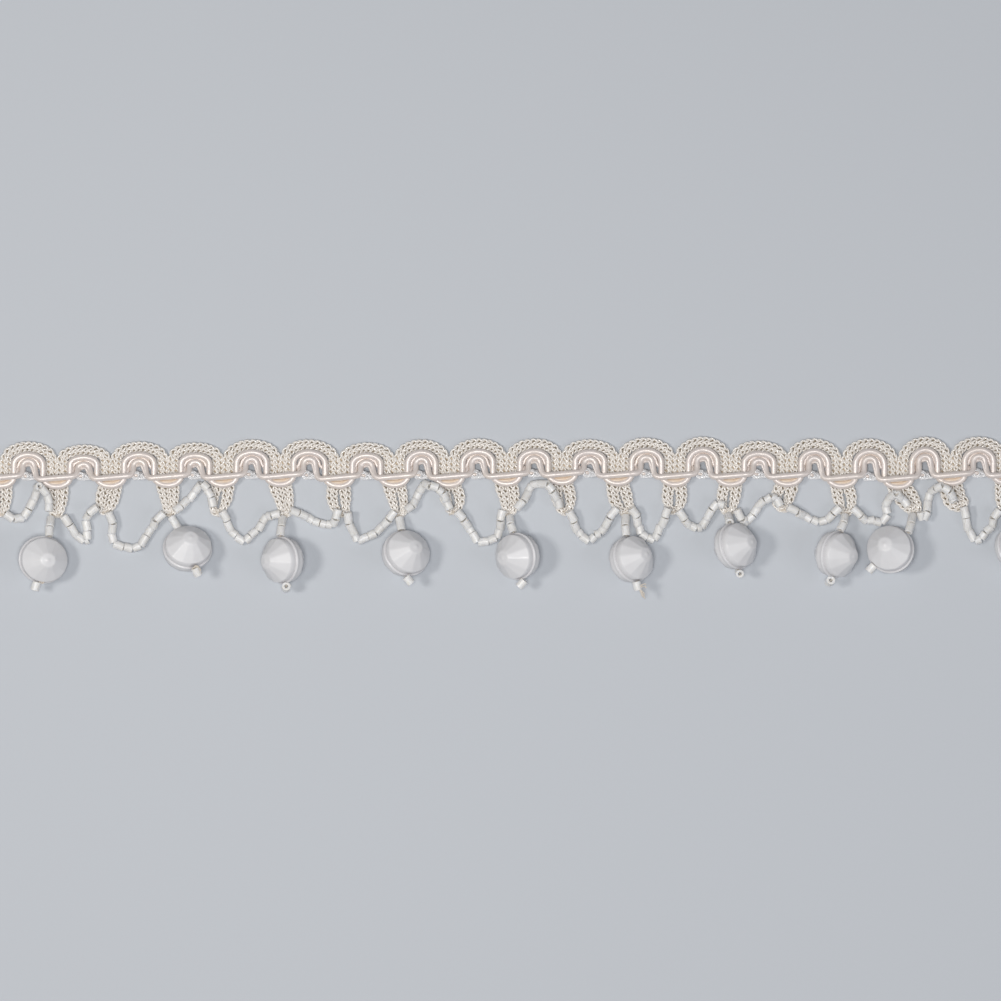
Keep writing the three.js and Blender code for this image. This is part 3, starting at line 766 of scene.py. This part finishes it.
class TRIM_OT_knitted_tape(Operator):
    """Knit the tape: a flattened tube of plain stitches along scallops and loops"""

    bl_idname = "trim.knitted_tape"
    bl_label = "Knitted tape"

    LOOP_REACH = 0.72  # how far a stitch reaches up and down, in courses
    LOOP_SWELL = 0.3  # how much wider its head is than its neck, in wales
    LOOP_NIP = 0.06  # how far its legs are drawn in towards each other, in wales
    LOOP_DEPTH = 0.16  # how far its legs stand out over its head
    UNEVEN_TURN = 0.05  # how far a stitch strays across, in wales
    UNEVEN_RISE = 0.1  # and along, in courses
    UNEVEN_DEPTH = 0.03  # and out
    YARN_SIDES = 5
    ROUTE_STEP = 0.25  # between the tape's points while its kinks are eased
    LINE_STEP = 0.1  # and between those that the stitches are placed on
    CORE_WIDTH = 0.74  # of the tape's
    CORE_SECTION = ((1, 0), (0.8, 1), (-0.8, 1), (-1, 0), (-0.8, -1), (0.8, -1))
    CORE_HALF_DEPTH = 0.16
    CORE_STEP = 4  # points of the tape's line to each ring of the core

    def execute(self, context):
        s = sizes()
        course = s.course / MM
        yarn = s.yarn / MM
        x, y, half = eased(spaced(tape_line(), self.ROUTE_STEP), 5).T
        line = spaced(np.stack([x, y, np.zeros(len(x)), half], 1), self.LINE_STEP)
        along = distances(line[:, :2])
        way = np.gradient(line[:, :2], axis=0)
        way /= np.linalg.norm(way, axis=1)[:, None]
        courses = int(along[-1] / course) - 2
        nominal = TAPE_WIDTH / 2 - yarn - self.LOOP_DEPTH / 2
        t = np.arange(courses * WALES * STITCH_STEPS) * 2 * math.pi / STITCH_STEPS
        stitch = t / (2 * math.pi)
        chance = np.random.default_rng(s.seed)
        stitches = np.arange(courses * WALES + 1)

        def uneven(amount):
            return np.interp(stitch, stitches, chance.uniform(-amount, amount, len(stitches)))

        turn = (stitch - self.LOOP_NIP * np.sin(t) + self.LOOP_SWELL * np.sin(2 * t)
                + uneven(self.UNEVEN_TURN)) / WALES
        up_tape = course * (1 + stitch / WALES + self.LOOP_REACH * np.cos(t)
                            + uneven(self.UNEVEN_RISE))
        across, up, out_across, out_up = around_section(turn, nominal)
        out = -self.LOOP_DEPTH * np.cos(2 * t) + uneven(self.UNEVEN_DEPTH)
        x, y, _, half, way_x, way_y = (
            np.interp(up_tape, along, column) for column in np.hstack([line, way]).T)
        reach = (across + out * out_across) * half / (TAPE_WIDTH / 2)
        points = np.stack([x - way_y * reach, y + way_x * reach,
                           TAPE_MIDDLE_Z + up + out * out_up], 1)
        for n, stretch in enumerate(np.array_split(np.arange(len(points)), STRETCHES)):
            stock = Stock()
            tube(stock, points[stretch[0] : stretch[-1] + 2], yarn, self.YARN_SIDES)
            stock.piece(f"knitted_tape_{n + 1}", "knit_cream", knitting_yarn(), "knitted_tape")
        self.core(line, way)
        return {"FINISHED"}

    def core(self, line, way):
        """The dark sheet inside the knitted tube, which paints the shade seen through the
        stitches.
        """
        step = slice(self.CORE_STEP, -self.CORE_STEP, self.CORE_STEP)
        points = line[step, :3] + (0, 0, TAPE_MIDDLE_Z)
        across = np.stack([-way[step, 1], way[step, 0], np.zeros(len(points))], 1)
        half = line[step, 3][:, None] * self.CORE_WIDTH
        rings = np.stack([
            points + across * half * part + (0, 0, self.CORE_HALF_DEPTH * up)
            for part, up in self.CORE_SECTION], 1)
        stock = Stock()
        skin(stock, rings, distances(points))
        stock.piece("tape_core", "knit_cream", tape_core(), "knitted_tape")


OUTER_CORD_Z = 1.8
BAR_Z = 2.85
INNER_ARCH_Z = 1.8
FILLER_Z = 1.4
CORD_STEP = 0.22
CORD_SIDES = 16
PLY_SIDES = 12
THREAD_SIDES = 8


class TRIM_OT_outer_satin_cord(Operator):
    """Lay the outer satin cord: an arch inside each scallop and a dip across each loop"""

    bl_idname = "trim.outer_satin_cord"
    bl_label = "Outer satin cord"

    def execute(self, context):
        line = [(LOOPS[0]["x"] - OUTER_LEG, OUTER_SPRING_Y), *self.dip(LOOPS[0])]
        for scallop in SCALLOPS:
            line += scallop.arch(
                scallop.half_width - OUTER_LEG, OUTER_SPRING_Y, scallop.top - OUTER_DROP)
            line += self.dip(scallop.right)
        line.append((LOOPS[-1]["x"] + OUTER_LEG, OUTER_SPRING_Y))
        route = [(x, y, OUTER_CORD_Z) for x, y in line]
        stock = Stock()
        laid(stock, route, CORD_STEP, 5, sizes().cord / MM, CORD_SIDES)
        stock.piece("outer_satin_cord_laid", "satin_cord", wrapped_satin(), "outer_satin_cord")
        return {"FINISHED"}

    def dip(self, loop):
        """The arch upside down across a loop."""
        spring = DIP_Y + loop["rise"] + DIP_HEIGHT
        return arch(loop["x"], OUTER_LEG, lambda x: spring, -DIP_HEIGHT, CORD_ARCH_POWER, 16)


class TRIM_OT_filler_cord(Operator):
    """Lay what shows between the two cords: a satin ply in each arch, filler in each dip"""

    bl_idname = "trim.filler_cord"
    bl_label = "Filler cord"

    ARCH_HALF_WIDTH = 2.3
    ARCH_FOOT_Y = 11.2
    ARCH_DROP = 3.85  # from a scallop's edge to the top of the ply's arch
    ARCH_END_DROP = 0.9  # from the arch's feet to its ends, under the outer cord
    DIP_HALF_WIDTH = 2.7
    DIP_RISE = 1.05  # above the bottom of the outer cord's dip
    DIP_BOW = 0.3  # how much higher its ends are than its middle
    DIP_TILT = 0.2  # half of how much its right end is over its left one
    DIP_Z = 1.95
    STRAND = 0.8  # radius of each of the two strands in a dip, to the filler's
    STRANDS_APART = 1.6  # in radii of the filler

    def execute(self, context):
        stock, plies = Stock(), Stock()
        radius = sizes().filler / MM
        for scallop in SCALLOPS:
            over = scallop.arch(
                self.ARCH_HALF_WIDTH, self.ARCH_FOOT_Y, scallop.top - self.ARCH_DROP)
            left, right = [(scallop.middle + side * OUTER_LEG, over[0][1] - self.ARCH_END_DROP)
                           for side in (-1, 1)]
            points = [(x, y, FILLER_Z) for x, y in (left, *over, right)]
            laid(plies, points, CORD_STEP, 3, radius, PLY_SIDES)
        for loop in LOOPS:
            for strand in (-0.5, 0.5):
                height = (DIP_Y + loop["rise"] + self.DIP_RISE
                          + strand * radius * self.STRANDS_APART)
                points = [
                    (loop["x"] + side * self.DIP_HALF_WIDTH,
                     height + self.DIP_BOW * side**2 + self.DIP_TILT * side, self.DIP_Z)
                    for side in (-1, -0.5, 0, 0.5, 1)]
                laid(stock, points, CORD_STEP, 5, radius * self.STRAND, PLY_SIDES)
        stock.piece("filler_cord_in_dips", "satin_cord", filler_cord(), "outer_satin_cord")
        plies.piece("satin_ply_in_arches", "satin_cord", wrapped_satin(), "outer_satin_cord")
        return {"FINISHED"}


def bar_height(loop, x):
    return BAR_Y + loop["rise"] + BAR_SLOPE * (x - loop["x"])


class TRIM_OT_inner_satin_cord(Operator):
    """Lay the inner satin cord: a small arch in each scallop and a long bar between them"""

    bl_idname = "trim.inner_satin_cord"
    bl_label = "Inner satin cord"

    LEAN = 0.35  # how far an arch's right leg leans out on its way down
    KNEE_STEPS = 6
    KNEE_START = 0.35  # how much of its climb on to the bar a leg has made above the knee
    # The loose ply under an arch: across from the scallop's middle, down from its edge and
    # height off the surface.
    LOOSE_PLY = (
        (-0.9, 5.9, 1.4), (-0.5, 5.6, 1.8), (0.1, 5.4, 2.1), (0.65, 5.5, 2.3), (0.85, 6.2, 2.3))
    # How it goes on down the knee: a point of the knee, right and up from it and height.
    PLY_AT_KNEE = ((1, -0.35, 0.2, 2.5), (3, -0.3, -0.2, 2.7), (6, 0, 0, BAR_Z))
    # The strand beside the arch's left leg: left of the scallop's middle, above the bars'
    # height and height off the surface.
    SIDE_STRAND = ((2.25, 2.15, 1.15), (2.35, 1.6, 1.6), (2.5, 1.0, 1.8), (2.9, 0.5, 1.9))
    SIDE_STRAND_RADIUS = 1.25  # of the loose ply's

    def knee(self, loop, leg_x, side):
        """The rounded corner from an arch's leg down to the bar over a loop."""
        x = leg_x + side * BAR_CORNER
        y = bar_height(loop, x) + BAR_CORNER
        points = []
        for i in range(self.KNEE_STEPS + 1):
            part = i / self.KNEE_STEPS
            angle = part * math.pi / 2
            climb = self.KNEE_START + (1 - self.KNEE_START) * part
            points.append((
                x - side * BAR_CORNER * math.cos(angle), y - BAR_CORNER * math.sin(angle),
                INNER_ARCH_Z + (BAR_Z - INNER_ARCH_Z) * climb))
        return points

    def execute(self, context):
        first, last = LOOPS[0], LOOPS[-1]
        start, end = first["x"] - BAR_END, last["x"] + BAR_END
        line = [(start, bar_height(first, start), BAR_Z)]
        plies = Stock()
        for scallop in SCALLOPS:
            middle, crown = scallop.middle, scallop.top - INNER_DROP
            over = scallop.arch(
                INNER_LEG, crown - INNER_ARCH_HEIGHT - scallop.rise(middle), crown)
            line += self.knee(scallop.left, middle - INNER_LEG, -1)[::-1]
            line += [(x, y, INNER_ARCH_Z) for x, y in over]
            knee = self.knee(scallop.right, middle + INNER_LEG + self.LEAN, 1)
            line += knee
            self.ply(plies, middle, scallop.top, knee)
        line.append((end, bar_height(last, end), BAR_Z))
        stock = Stock()
        laid(stock, line, CORD_STEP, 7, sizes().cord / MM, CORD_SIDES)
        stock.piece("inner_satin_cord_laid", "satin_cord", wrapped_satin(), "inner_satin_cord")
        plies.piece("inner_cord_loose_ply", "satin_cord", wrapped_satin(), "inner_satin_cord")
        return {"FINISHED"}

    def ply(self, plies, middle, top, knee):
        """The ply that parts from the inner cord under its arch and joins it at the knee."""
        radius = sizes().ply / MM
        route = [(middle + x, top - down, z) for x, down, z in self.LOOSE_PLY]
        route += [(knee[i][0] + x, knee[i][1] + y, z) for i, x, y, z in self.PLY_AT_KNEE]
        laid(plies, route, CORD_STEP, 7, radius, PLY_SIDES)
        strand = [(middle - left, BAR_Y + up, z) for left, up, z in self.SIDE_STRAND]
        laid(plies, strand, CORD_STEP, 5, radius * self.SIDE_STRAND_RADIUS, PLY_SIDES)


class TRIM_OT_tie_threads(Operator):
    """Tie the bars together under each scallop with a few turns of clear thread"""

    bl_idname = "trim.tie_threads"
    bl_label = "Tie threads"

    # Strands of a tie, each point across from the scallop's middle, up from the tie's middle
    # and its height off the surface, and how many times each strand is laid, moved over.
    UNDER_STRAND = ((-1.9, 0.1, 2.4), (-0.9, -0.75, 2.5), (0.3, -0.85, 2.6), (1.9, -0.6, 2.3))
    UNDER_SHIFTS = (0.0, 0.28)  # up
    UNDER_RADIUS = 1.1  # of the thread's
    CROSS_STRAND = ((0.25, 0.75, 1.8), (0.45, 0.3, 2.7), (0.75, -0.1, 2.9), (1.05, -0.6, 2.2))
    CROSS_LEANS = (-0.3, 0.0, 0.35)  # right at the top and as far left at the bottom
    CROSS_RADIUS = 1.15
    CORD_END = ((-0.5, -0.05, 1.9), (0.0, 0.02, 2.05), (0.55, 0.05, 1.9))
    CORD_END_RADIUS = 0.45
    CORD_END_STEP = 0.1
    RINGS = 3
    RING_WIDTH = 1.0  # half the width and height of the widest ring
    RING_HEIGHT = 0.95
    RING_STEP = 0.19  # how much smaller each next ring is
    RING_RISE = 0.2  # and how much higher
    RING_UNEVEN = 0.08
    RING_LAP = 0.7  # how far round a ring runs past its start, in radians
    RING_START = (60, 140)  # the least and the most turned start, in degrees
    RING_Z = 2.25
    RING_WAVE = 0.1  # how far it goes up and down on its way round
    RING_POINTS = 30
    MIDDLE_LEFT = 0.65  # of the rings from the scallop's middle
    MIDDLE_UP = 0.35  # over the bars
    STEP = 0.12

    def execute(self, context):
        dice = random.Random(sizes().seed)
        stock, pads = Stock(), Stock()
        radius = sizes().tie / MM
        for scallop in SCALLOPS:
            middle = scallop.middle
            x, y = middle - self.MIDDLE_LEFT, BAR_Y + scallop.rise(middle) + self.MIDDLE_UP
            for turn in range(self.RINGS):
                laid(stock, self.ring(x, y, turn, dice), self.STEP, 5, radius, THREAD_SIDES)
            for shift in self.UNDER_SHIFTS:
                route = [(middle + dx, y + up + shift, z) for dx, up, z in self.UNDER_STRAND]
                laid(stock, route, self.STEP, 9, radius * self.UNDER_RADIUS, THREAD_SIDES)
            for lean in self.CROSS_LEANS:
                route = [(middle + dx + side * lean, y + up, z) for side, (dx, up, z)
                         in zip((1, 1, -1, -1), self.CROSS_STRAND)]
                laid(stock, route, self.STEP, 7, radius * self.CROSS_RADIUS, THREAD_SIDES)
            end = [(x + dx, y + up, z) for dx, up, z in self.CORD_END]
            laid(pads, end, self.CORD_END_STEP, 5, self.CORD_END_RADIUS, PLY_SIDES)
        stock.piece("clear_tie_threads", "satin_cord", clear_tie())
        pads.piece("tied_cord_ends", "satin_cord", wrapped_satin(), "inner_satin_cord")
        return {"FINISHED"}

    def ring(self, x, y, turn, dice):
        """One turn of a tie, a little smaller and higher than the last."""
        uneven = self.RING_UNEVEN
        reach = self.RING_WIDTH - self.RING_STEP * turn + dice.uniform(-uneven, uneven)
        sag = self.RING_HEIGHT - self.RING_STEP * turn + dice.uniform(-uneven, uneven)
        start = math.radians(dice.uniform(*self.RING_START))
        return [
            (x + reach * math.cos(start + a), y + sag * math.sin(start + a),
             self.RING_Z + self.RING_RISE * turn + self.RING_WAVE * math.sin(a + turn))
            for a in np.linspace(0, 2 * math.pi + self.RING_LAP, self.RING_POINTS)]


BEAD_GAP = 0.06
BEAD_BEVEL = 0.07
BEVEL_ROUND = 0.3  # how far in from the corner the bevel's middle lies, to its width
BORE_BEVEL = 0.8  # width of the bevel at the bore, to that at the rim
BEAD_SIDES = 20
BEAD_SLIMMEST = 0.93  # of the full diameter


def bead_profile(long, radius, bore):
    """The closed half section of a drilled cylinder bead, its edges rounded."""
    half, bevel = long / 2, BEAD_BEVEL
    upper = [
        (radius, half - 2 * bevel), (radius, half - bevel),
        (radius - bevel * BEVEL_ROUND, half - bevel * BEVEL_ROUND), (radius - bevel, half),
        (bore + bevel * BORE_BEVEL, half), (bore, half - bevel)]
    lower = [(reach, -height) for reach, height in upper[::-1]]
    return [(radius, 0), *upper, (bore, 0), *lower]


def add_bead(stock, start, end, dice, jitter=0.22):
    """Adds one drilled bead between two points, slightly out of true."""
    start, end = Vector(start), Vector(end)
    along = (end - start).normalized()
    for joint in (start, end):
        push = Vector([dice.uniform(-jitter, jitter) for _ in range(3)])
        joint += push - along * push.dot(along)
        joint.z = max(joint.z, BEAD_DIAMETER / 2)
    way = end - start
    radius = BEAD_DIAMETER / 2 * dice.uniform(BEAD_SLIMMEST, 1.0)
    tilt = way.to_track_quat("Z", "Y").to_matrix().to_4x4()
    place = Matrix.Translation((start + end) / 2) @ tilt
    profile = bead_profile(way.length - BEAD_GAP, radius, sizes().bore / MM)
    turned(stock, profile, BEAD_SIDES, place)


def string_points(loop, route):
    """A string's joints, on the surface where the route gives no height."""
    on_surface = BEAD_DIAMETER / 2
    return [(loop["x"] + j[0], j[1], j[2] if len(j) > 2 else on_surface) for j in route]


class TRIM_OT_bead_strings(Operator):
    """Thread the bead strings that swing from loop to loop"""

    bl_idname = "trim.bead_strings"
    bl_label = "Bead strings"

    TURNS = 3
    TURNS_UP = 0.65  # from a loop's bottom edge to the turns over it
    TURN_STRAYS = (-0.2, 0.45)  # down and up
    TURN_SLANT = 0.5
    TURN_ARCH = ((-1.0, 0.8), (-0.5, 1.22), (0.0, 1.32), (0.5, 1.22), (1.0, 0.8))  # x and z
    TURN_RADIUS = 0.85  # of the thread's, where it is pulled tight

    def execute(self, context):
        dice = random.Random(sizes().seed + 1)
        threads = Stock()
        for n, (loop, route) in enumerate(zip(LOOPS, STRINGS), 1):
            points = string_points(loop, route)
            stock = Stock()
            for start, end in zip(points, points[1:]):
                add_bead(stock, start, end, dice)
            name = f"bead_string_{n:02d}"
            stock.piece(f"{name}_beads", "cylinder_beads", cylinder_bead(), name)
            laid(threads, points, 0.4, 3, sizes().thread / MM, THREAD_SIDES)
        for loop in LOOPS:
            self.wraps(threads, loop, dice)
        threads.piece("bead_string_threads", "knit_cream", bead_thread())
        return {"FINISHED"}

    def wraps(self, threads, loop, dice):
        """The turns of thread that fasten the strings over the foot of a loop."""
        x, y = loop["x"] + loop["foot"], loop["bottom"] + self.TURNS_UP
        radius = sizes().thread / MM * self.TURN_RADIUS
        for turn in range(self.TURNS):
            slant = dice.uniform(-self.TURN_SLANT, self.TURN_SLANT)
            up = y + dice.uniform(*self.TURN_STRAYS)
            route = [(x + across, up + across * slant, z) for across, z in self.TURN_ARCH]
            laid(threads, route, 0.2, 3, radius, THREAD_SIDES)


CUTS = 12  # flat cuts round each dome
DOME_RINGS = 30
DOME_SIDES = 96
DOME_FOOT = 5.0  # radius of the dome's lower edge
TABLE_RADIUS = 1.56
TABLE_SLOPE = 0.14
CUT_SLOPE = 0.95
WALL_SLOPE = 30.0  # of the wall between the cuts and the ridge round the ball's middle
WALL_FOOT = 0.38  # half the width of the ridge, with the creases beside it
# The ridge's radius at each step out to its rim, and how far below the wall's foot it is.
RIDGE = ((DOME_FOOT + 0.02, 0.06), (BALL_LENGTH / 2 - 0.06, 0.1), (BALL_LENGTH / 2, 0.17))
EDGE_SHARPNESS = 45.0  # the faces meet in crisp but not cutting edges
NIB = 0.12
NIB_RADIUS = 0.35


def dome_height(reach, angles, turn):
    """How high a dome's face stands: a shallow table, flat cuts and a steep round wall."""
    table = BALL_THICKNESS / 2 - NIB - TABLE_SLOPE * reach
    brink = BALL_THICKNESS / 2 - NIB - TABLE_SLOPE * TABLE_RADIUS
    wall = WALL_FOOT + WALL_SLOPE * (DOME_FOOT - reach)
    faces = [np.full(len(angles), table), np.full(len(angles), wall)]
    for i in range(CUTS):
        facing = angles - turn - i * 2 * math.pi / CUTS
        faces.append(brink - CUT_SLOPE * (reach * np.cos(facing) - TABLE_RADIUS))
    faces = np.stack(faces)
    low = faces.min(0)
    soft = low - np.log(np.exp(EDGE_SHARPNESS * (low - faces)).sum(0)) / EDGE_SHARPNESS
    return soft + NIB * math.exp(-((reach / NIB_RADIUS) ** 2))


def ball_rings(turn):
    """The ball's rings of points, bottom first, and its two tips. It faces its own Z and is
    threaded along its own Y."""
    angles = np.arange(DOME_SIDES) * 2 * math.pi / DOME_SIDES
    rows = []
    for part in np.linspace(0, 1, DOME_RINGS + 1)[1:]:
        reach = DOME_FOOT * math.sin(part * math.pi / 2)
        rows.append((reach, dome_height(reach, angles, math.radians(turn))))
    rows += [(reach, WALL_FOOT - down) for reach, down in RIDGE]
    rim = [(BALL_LENGTH / 2, 0.0)]
    rows = [(reach, -level) for reach, level in rows] + rim + rows[::-1]
    stretch = BALL_WIDTH / BALL_LENGTH
    rings = np.array([np.stack(np.broadcast_arrays(
        reach * stretch * np.cos(angles), reach * np.sin(angles), level), 1)
        for reach, level in rows])
    tip = np.array((0.0, 0.0, float(dome_height(0.0, angles[:1], 0.0)[0])))
    return rings, np.array([-tip, tip])


# The thread ends that show beside some stoppers: for each pendant, routes from the middle of
# its stopper bead.
TAILS = {
    1: (((0.7, 0.8, 0.1), (1.3, 1.1, 0.5), (1.8, 0.9, 0.3), (1.5, 0.5, 0.0), (1.2, 0.8, 0.3),
         (1.6, 1.2, 0.2), (1.9, 0.7, 0.4)),),
    2: (((-1.0, 0.3, 0.5), (-0.8, 0.9, 0.9), (0.0, 1.15, 1.1), (0.8, 0.8, 0.9),
         (1.0, 0.2, 0.6)),
        ((-0.9, 0.6, 0.4), (-0.2, 1.4, 0.9), (0.6, 1.2, 0.8))),
    6: (((0.2, -0.6, 0.4), (0.9, -1.3, 0.3), (1.3, -2.1, 0.4), (1.8, -2.9, 0.1)),
        ((0.3, -0.6, 0.3), (1.0, -1.1, 0.5), (1.6, -1.8, 0.2), (1.5, -2.7, 0.0)),
        ((0.3, -0.5, 0.5), (0.8, -1.4, 0.0), (1.2, -2.4, -0.2), (1.3, -2.5, 0.1)),
        ((0.5, -0.2, 0.5), (1.1, 0.2, 0.6), (1.7, 0.5, 0.4), (2.0, 0.2, 0.3)),
        ((0.4, -0.4, 0.5), (1.2, -0.2, 0.5), (1.7, -0.1, 0.1), (2.1, -0.5, 0.2))),
}


class TRIM_OT_pendants(Operator):
    """Hang the pendants: a neck of beads, a flat-cut ball and a stopper bead each"""

    bl_idname = "trim.pendants"
    bl_label = "Ball pendants"

    NECK_FOOT_UP = 0.2  # from a loop's bottom edge to the start of its neck
    NECK_FOOT_Z = 2.1
    NECK_END = 0.1  # from the neck's last bead to the ball
    NECK_BEAD = 2.4  # the length that decides whether a neck has one bead or two
    NECK_BOW = 0.55  # how far a neck's beads arch up between the loop and the ball
    NECK_WANDER = 0.35  # and how far aside they stray there
    STOPPER_DOWN = 0.65  # from the ball's end to a stopper's middle, to its reach that way
    THREAD_UP = 0.5  # from the neck's foot to the thread's start in the loop
    THREAD_IN_BALL = 0.6  # from the ball's end to the thread's turn towards the stopper
    THREAD_IN_STOPPER = (-0.6, 1.05)  # from where to where, in halves of the bead's length

    def execute(self, context):
        dice = random.Random(sizes().seed + 2)
        radius = sizes().thread / MM
        threads = Stock()
        for n, spec in enumerate(PENDANTS, 1):
            turn = (Matrix.Rotation(math.radians(spec["swing"]), 3, "Z")
                    @ Matrix.Rotation(-math.radians(spec["pitch"]), 3, "X")
                    @ Matrix.Rotation(math.radians(spec["roll"]), 3, "Y"))
            thread = turn @ Vector((0, 1, 0))
            middle = self.ball(n, spec, turn)
            joints = self.neck(n, spec, middle + thread * (BALL_LENGTH / 2 + self.NECK_END), dice)
            bead, half = self.stopper(n, spec, middle, thread, dice)
            start = joints[0] + Vector((0, self.THREAD_UP, 0))
            bottom = middle - thread * (BALL_LENGTH / 2 - self.THREAD_IN_BALL)
            ends = [bead + half * part for part in self.THREAD_IN_STOPPER]
            route = [start, *joints[1:], middle, bottom, *ends]
            laid(threads, route, 0.3, 3, radius, THREAD_SIDES)
            for tail in TAILS.get(n, ()):
                laid(threads, [bead + Vector(p) for p in tail], 0.12, 5, radius, THREAD_SIDES)
        threads.piece("pendant_threads", "knit_cream", bead_thread())
        return {"FINISHED"}

    def ball(self, n, spec, turn):
        """Sets a ball on the floor and gives its middle."""
        name = f"ball_{n:02d}"
        rings, tips = (part @ np.array(turn).T for part in ball_rings(spec["cut_turn"]))
        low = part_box(name)[0].z / MM
        middle = Vector((spec["x"], spec["y"], low - float(rings[..., 2].min())))
        stock = Stock()
        skin(stock, rings + np.array(middle), range(len(rings)), tips=tips + np.array(middle))
        stock.piece(f"{name}_moulded", "faceted_balls", moulded_ball(), name)
        return middle

    def neck(self, n, spec, top, dice):
        """Threads the neck from the loop's foot to the ball's top and gives its joints."""
        name = f"neck_beads_{n:02d}"
        loop = LOOPS[spec["loop"]]
        foot = Vector((loop["x"] + loop["foot"] + spec["side"],
                       loop["bottom"] + self.NECK_FOOT_UP, self.NECK_FOOT_Z))
        count = max(1, round((foot - top).length / self.NECK_BEAD))
        joints = []
        for i in range(count + 1):
            aside = dice.uniform(-self.NECK_WANDER, self.NECK_WANDER)
            bow = Vector((aside, 0, self.NECK_BOW)) * math.sin(math.pi * i / count)
            joints.append(foot.lerp(top, i / count) + bow)
        stock = Stock()
        for start, end in zip(joints, joints[1:]):
            add_bead(stock, start, end, dice, jitter=0.05)
        stock.piece(f"{name}_beads", "cylinder_beads", cylinder_bead(), name)
        return joints

    def stopper(self, n, spec, middle, thread, dice):
        """Adds the bead under the ball and gives its middle and half its length and way."""
        name = f"stopper_bead_{n:02d}"
        along = Vector(spec["stopper"]).normalized()
        half = along * STOPPER_LENGTH / 2
        cosine = abs(along.dot(thread))
        reach = STOPPER_LENGTH / 2 * cosine + math.sqrt(1 - cosine**2) * BEAD_DIAMETER / 2
        bead = middle - thread * (BALL_LENGTH / 2 + reach * self.STOPPER_DOWN)
        bead += Vector((spec["aside"], 0, 0))
        stock = Stock()
        add_bead(stock, bead - half, bead + half, dice, jitter=0.02)
        stock.piece(f"{name}_drilled", "cylinder_beads", cylinder_bead(), name)
        return bead, half


class TRIM_OT_stage(Operator):
    """Set the pale floor, the soft lights and the camera above the trim"""

    bl_idname = "trim.stage"
    bl_label = "Stage"

    VIEW_WIDTH = 0.228
    VIEW_MIDDLE = (-2.96 * MM, 2.96 * MM, 2 * MM)
    LENS = 200.0
    SENSOR = 36.0
    SKY = (0.93, 0.94, 1, 1)
    SKY_STRENGTH = 0.14
    # Each light's name, place, width, power and tint.
    LIGHTS = (
        ("key", (-0.42, 0.0, 0.7), 0.16, 1.75, (1.0, 0.97, 0.93)),
        ("overhead", (-0.04, -0.06, 0.95), 0.26, 4.3, (1.0, 0.99, 0.98)),
        ("fill", (0.5, -0.2, 0.5), 0.4, 0.6, (0.95, 0.96, 1.0)),
    )

    def execute(self, context):
        scene = context.scene
        half = sizes().floor / 2
        mesh = bpy.data.meshes.new("floor")
        mesh.from_pydata([(-half, -half, 0), (half, -half, 0), (half, half, 0),
                          (-half, half, 0)], [], [(0, 1, 2, 3)])
        mesh.materials.append(plain_floor())
        floor = bpy.data.objects.new("floor", mesh)
        scene.collection.objects.link(floor)

        world = bpy.data.worlds.new("studio")
        scene.world = world
        world.use_nodes = True
        background = world.node_tree.nodes["Background"]
        background.inputs["Color"].default_value = self.SKY
        background.inputs["Strength"].default_value = self.SKY_STRENGTH
        for lamp in self.LIGHTS:
            self.light(*lamp)

        camera = bpy.data.cameras.new("camera")
        camera.lens = self.LENS
        camera.sensor_width = self.SENSOR
        holder = bpy.data.objects.new("camera", camera)
        scene.collection.objects.link(holder)
        height = self.VIEW_WIDTH * self.LENS / self.SENSOR
        holder.location = Vector(self.VIEW_MIDDLE) + Vector((0, 0, height))
        camera.clip_start, camera.clip_end = 0.01, 50
        scene.camera = holder
        scene.view_settings.view_transform = "Standard"
        scene.view_settings.look = "None"
        return {"FINISHED"}

    def light(self, name, place, size, power, tint):
        data = bpy.data.lights.new(name, "AREA")
        data.shape = "DISK"
        data.size = size
        data.energy = power
        data.color = tint
        lamp = bpy.data.objects.new(name, data)
        lamp.location = place
        lamp.rotation_euler = Vector(place).to_track_quat("Z", "Y").to_euler()
        lamp.visible_camera = False
        bpy.context.scene.collection.objects.link(lamp)


OPERATORS = (
    TRIM_OT_stage,
    TRIM_OT_knitted_tape,
    TRIM_OT_outer_satin_cord,
    TRIM_OT_inner_satin_cord,
    TRIM_OT_filler_cord,
    TRIM_OT_tie_threads,
    TRIM_OT_bead_strings,
    TRIM_OT_pendants,
)


class TRIM_PT_panel(Panel):
    """Lists the trim's sizes, colours and pieces"""

    bl_idname = "TRIM_PT_panel"
    bl_label = "Beaded loop fringe trim"
    bl_space_type = "VIEW_3D"
    bl_region_type = "UI"
    bl_category = "Trim"

    def draw(self, context):
        for group in (context.scene.trim_sizes, context.scene.trim_colours):
            box = self.layout.box()
            for name in group.bl_rna.properties.keys():
                if name not in ("rna_type", "name"):
                    box.prop(group, name)
        for operator in OPERATORS:
            self.layout.operator(operator.bl_idname)


CLASSES = (TrimSizes, TrimColours, *OPERATORS, TRIM_PT_panel)


def register():
    for cls in CLASSES:
        bpy.utils.register_class(cls)
    bpy.types.Scene.trim_sizes = PointerProperty(type=TrimSizes)
    bpy.types.Scene.trim_colours = PointerProperty(type=TrimColours)


def unregister():
    del bpy.types.Scene.trim_colours
    del bpy.types.Scene.trim_sizes
    for cls in reversed(CLASSES):
        bpy.utils.unregister_class(cls)


def main():
    register()
    for operator in OPERATORS:
        group, name = operator.bl_idname.split(".")
        getattr(getattr(bpy.ops, group), name)()


if __name__ == "__main__":
    main()
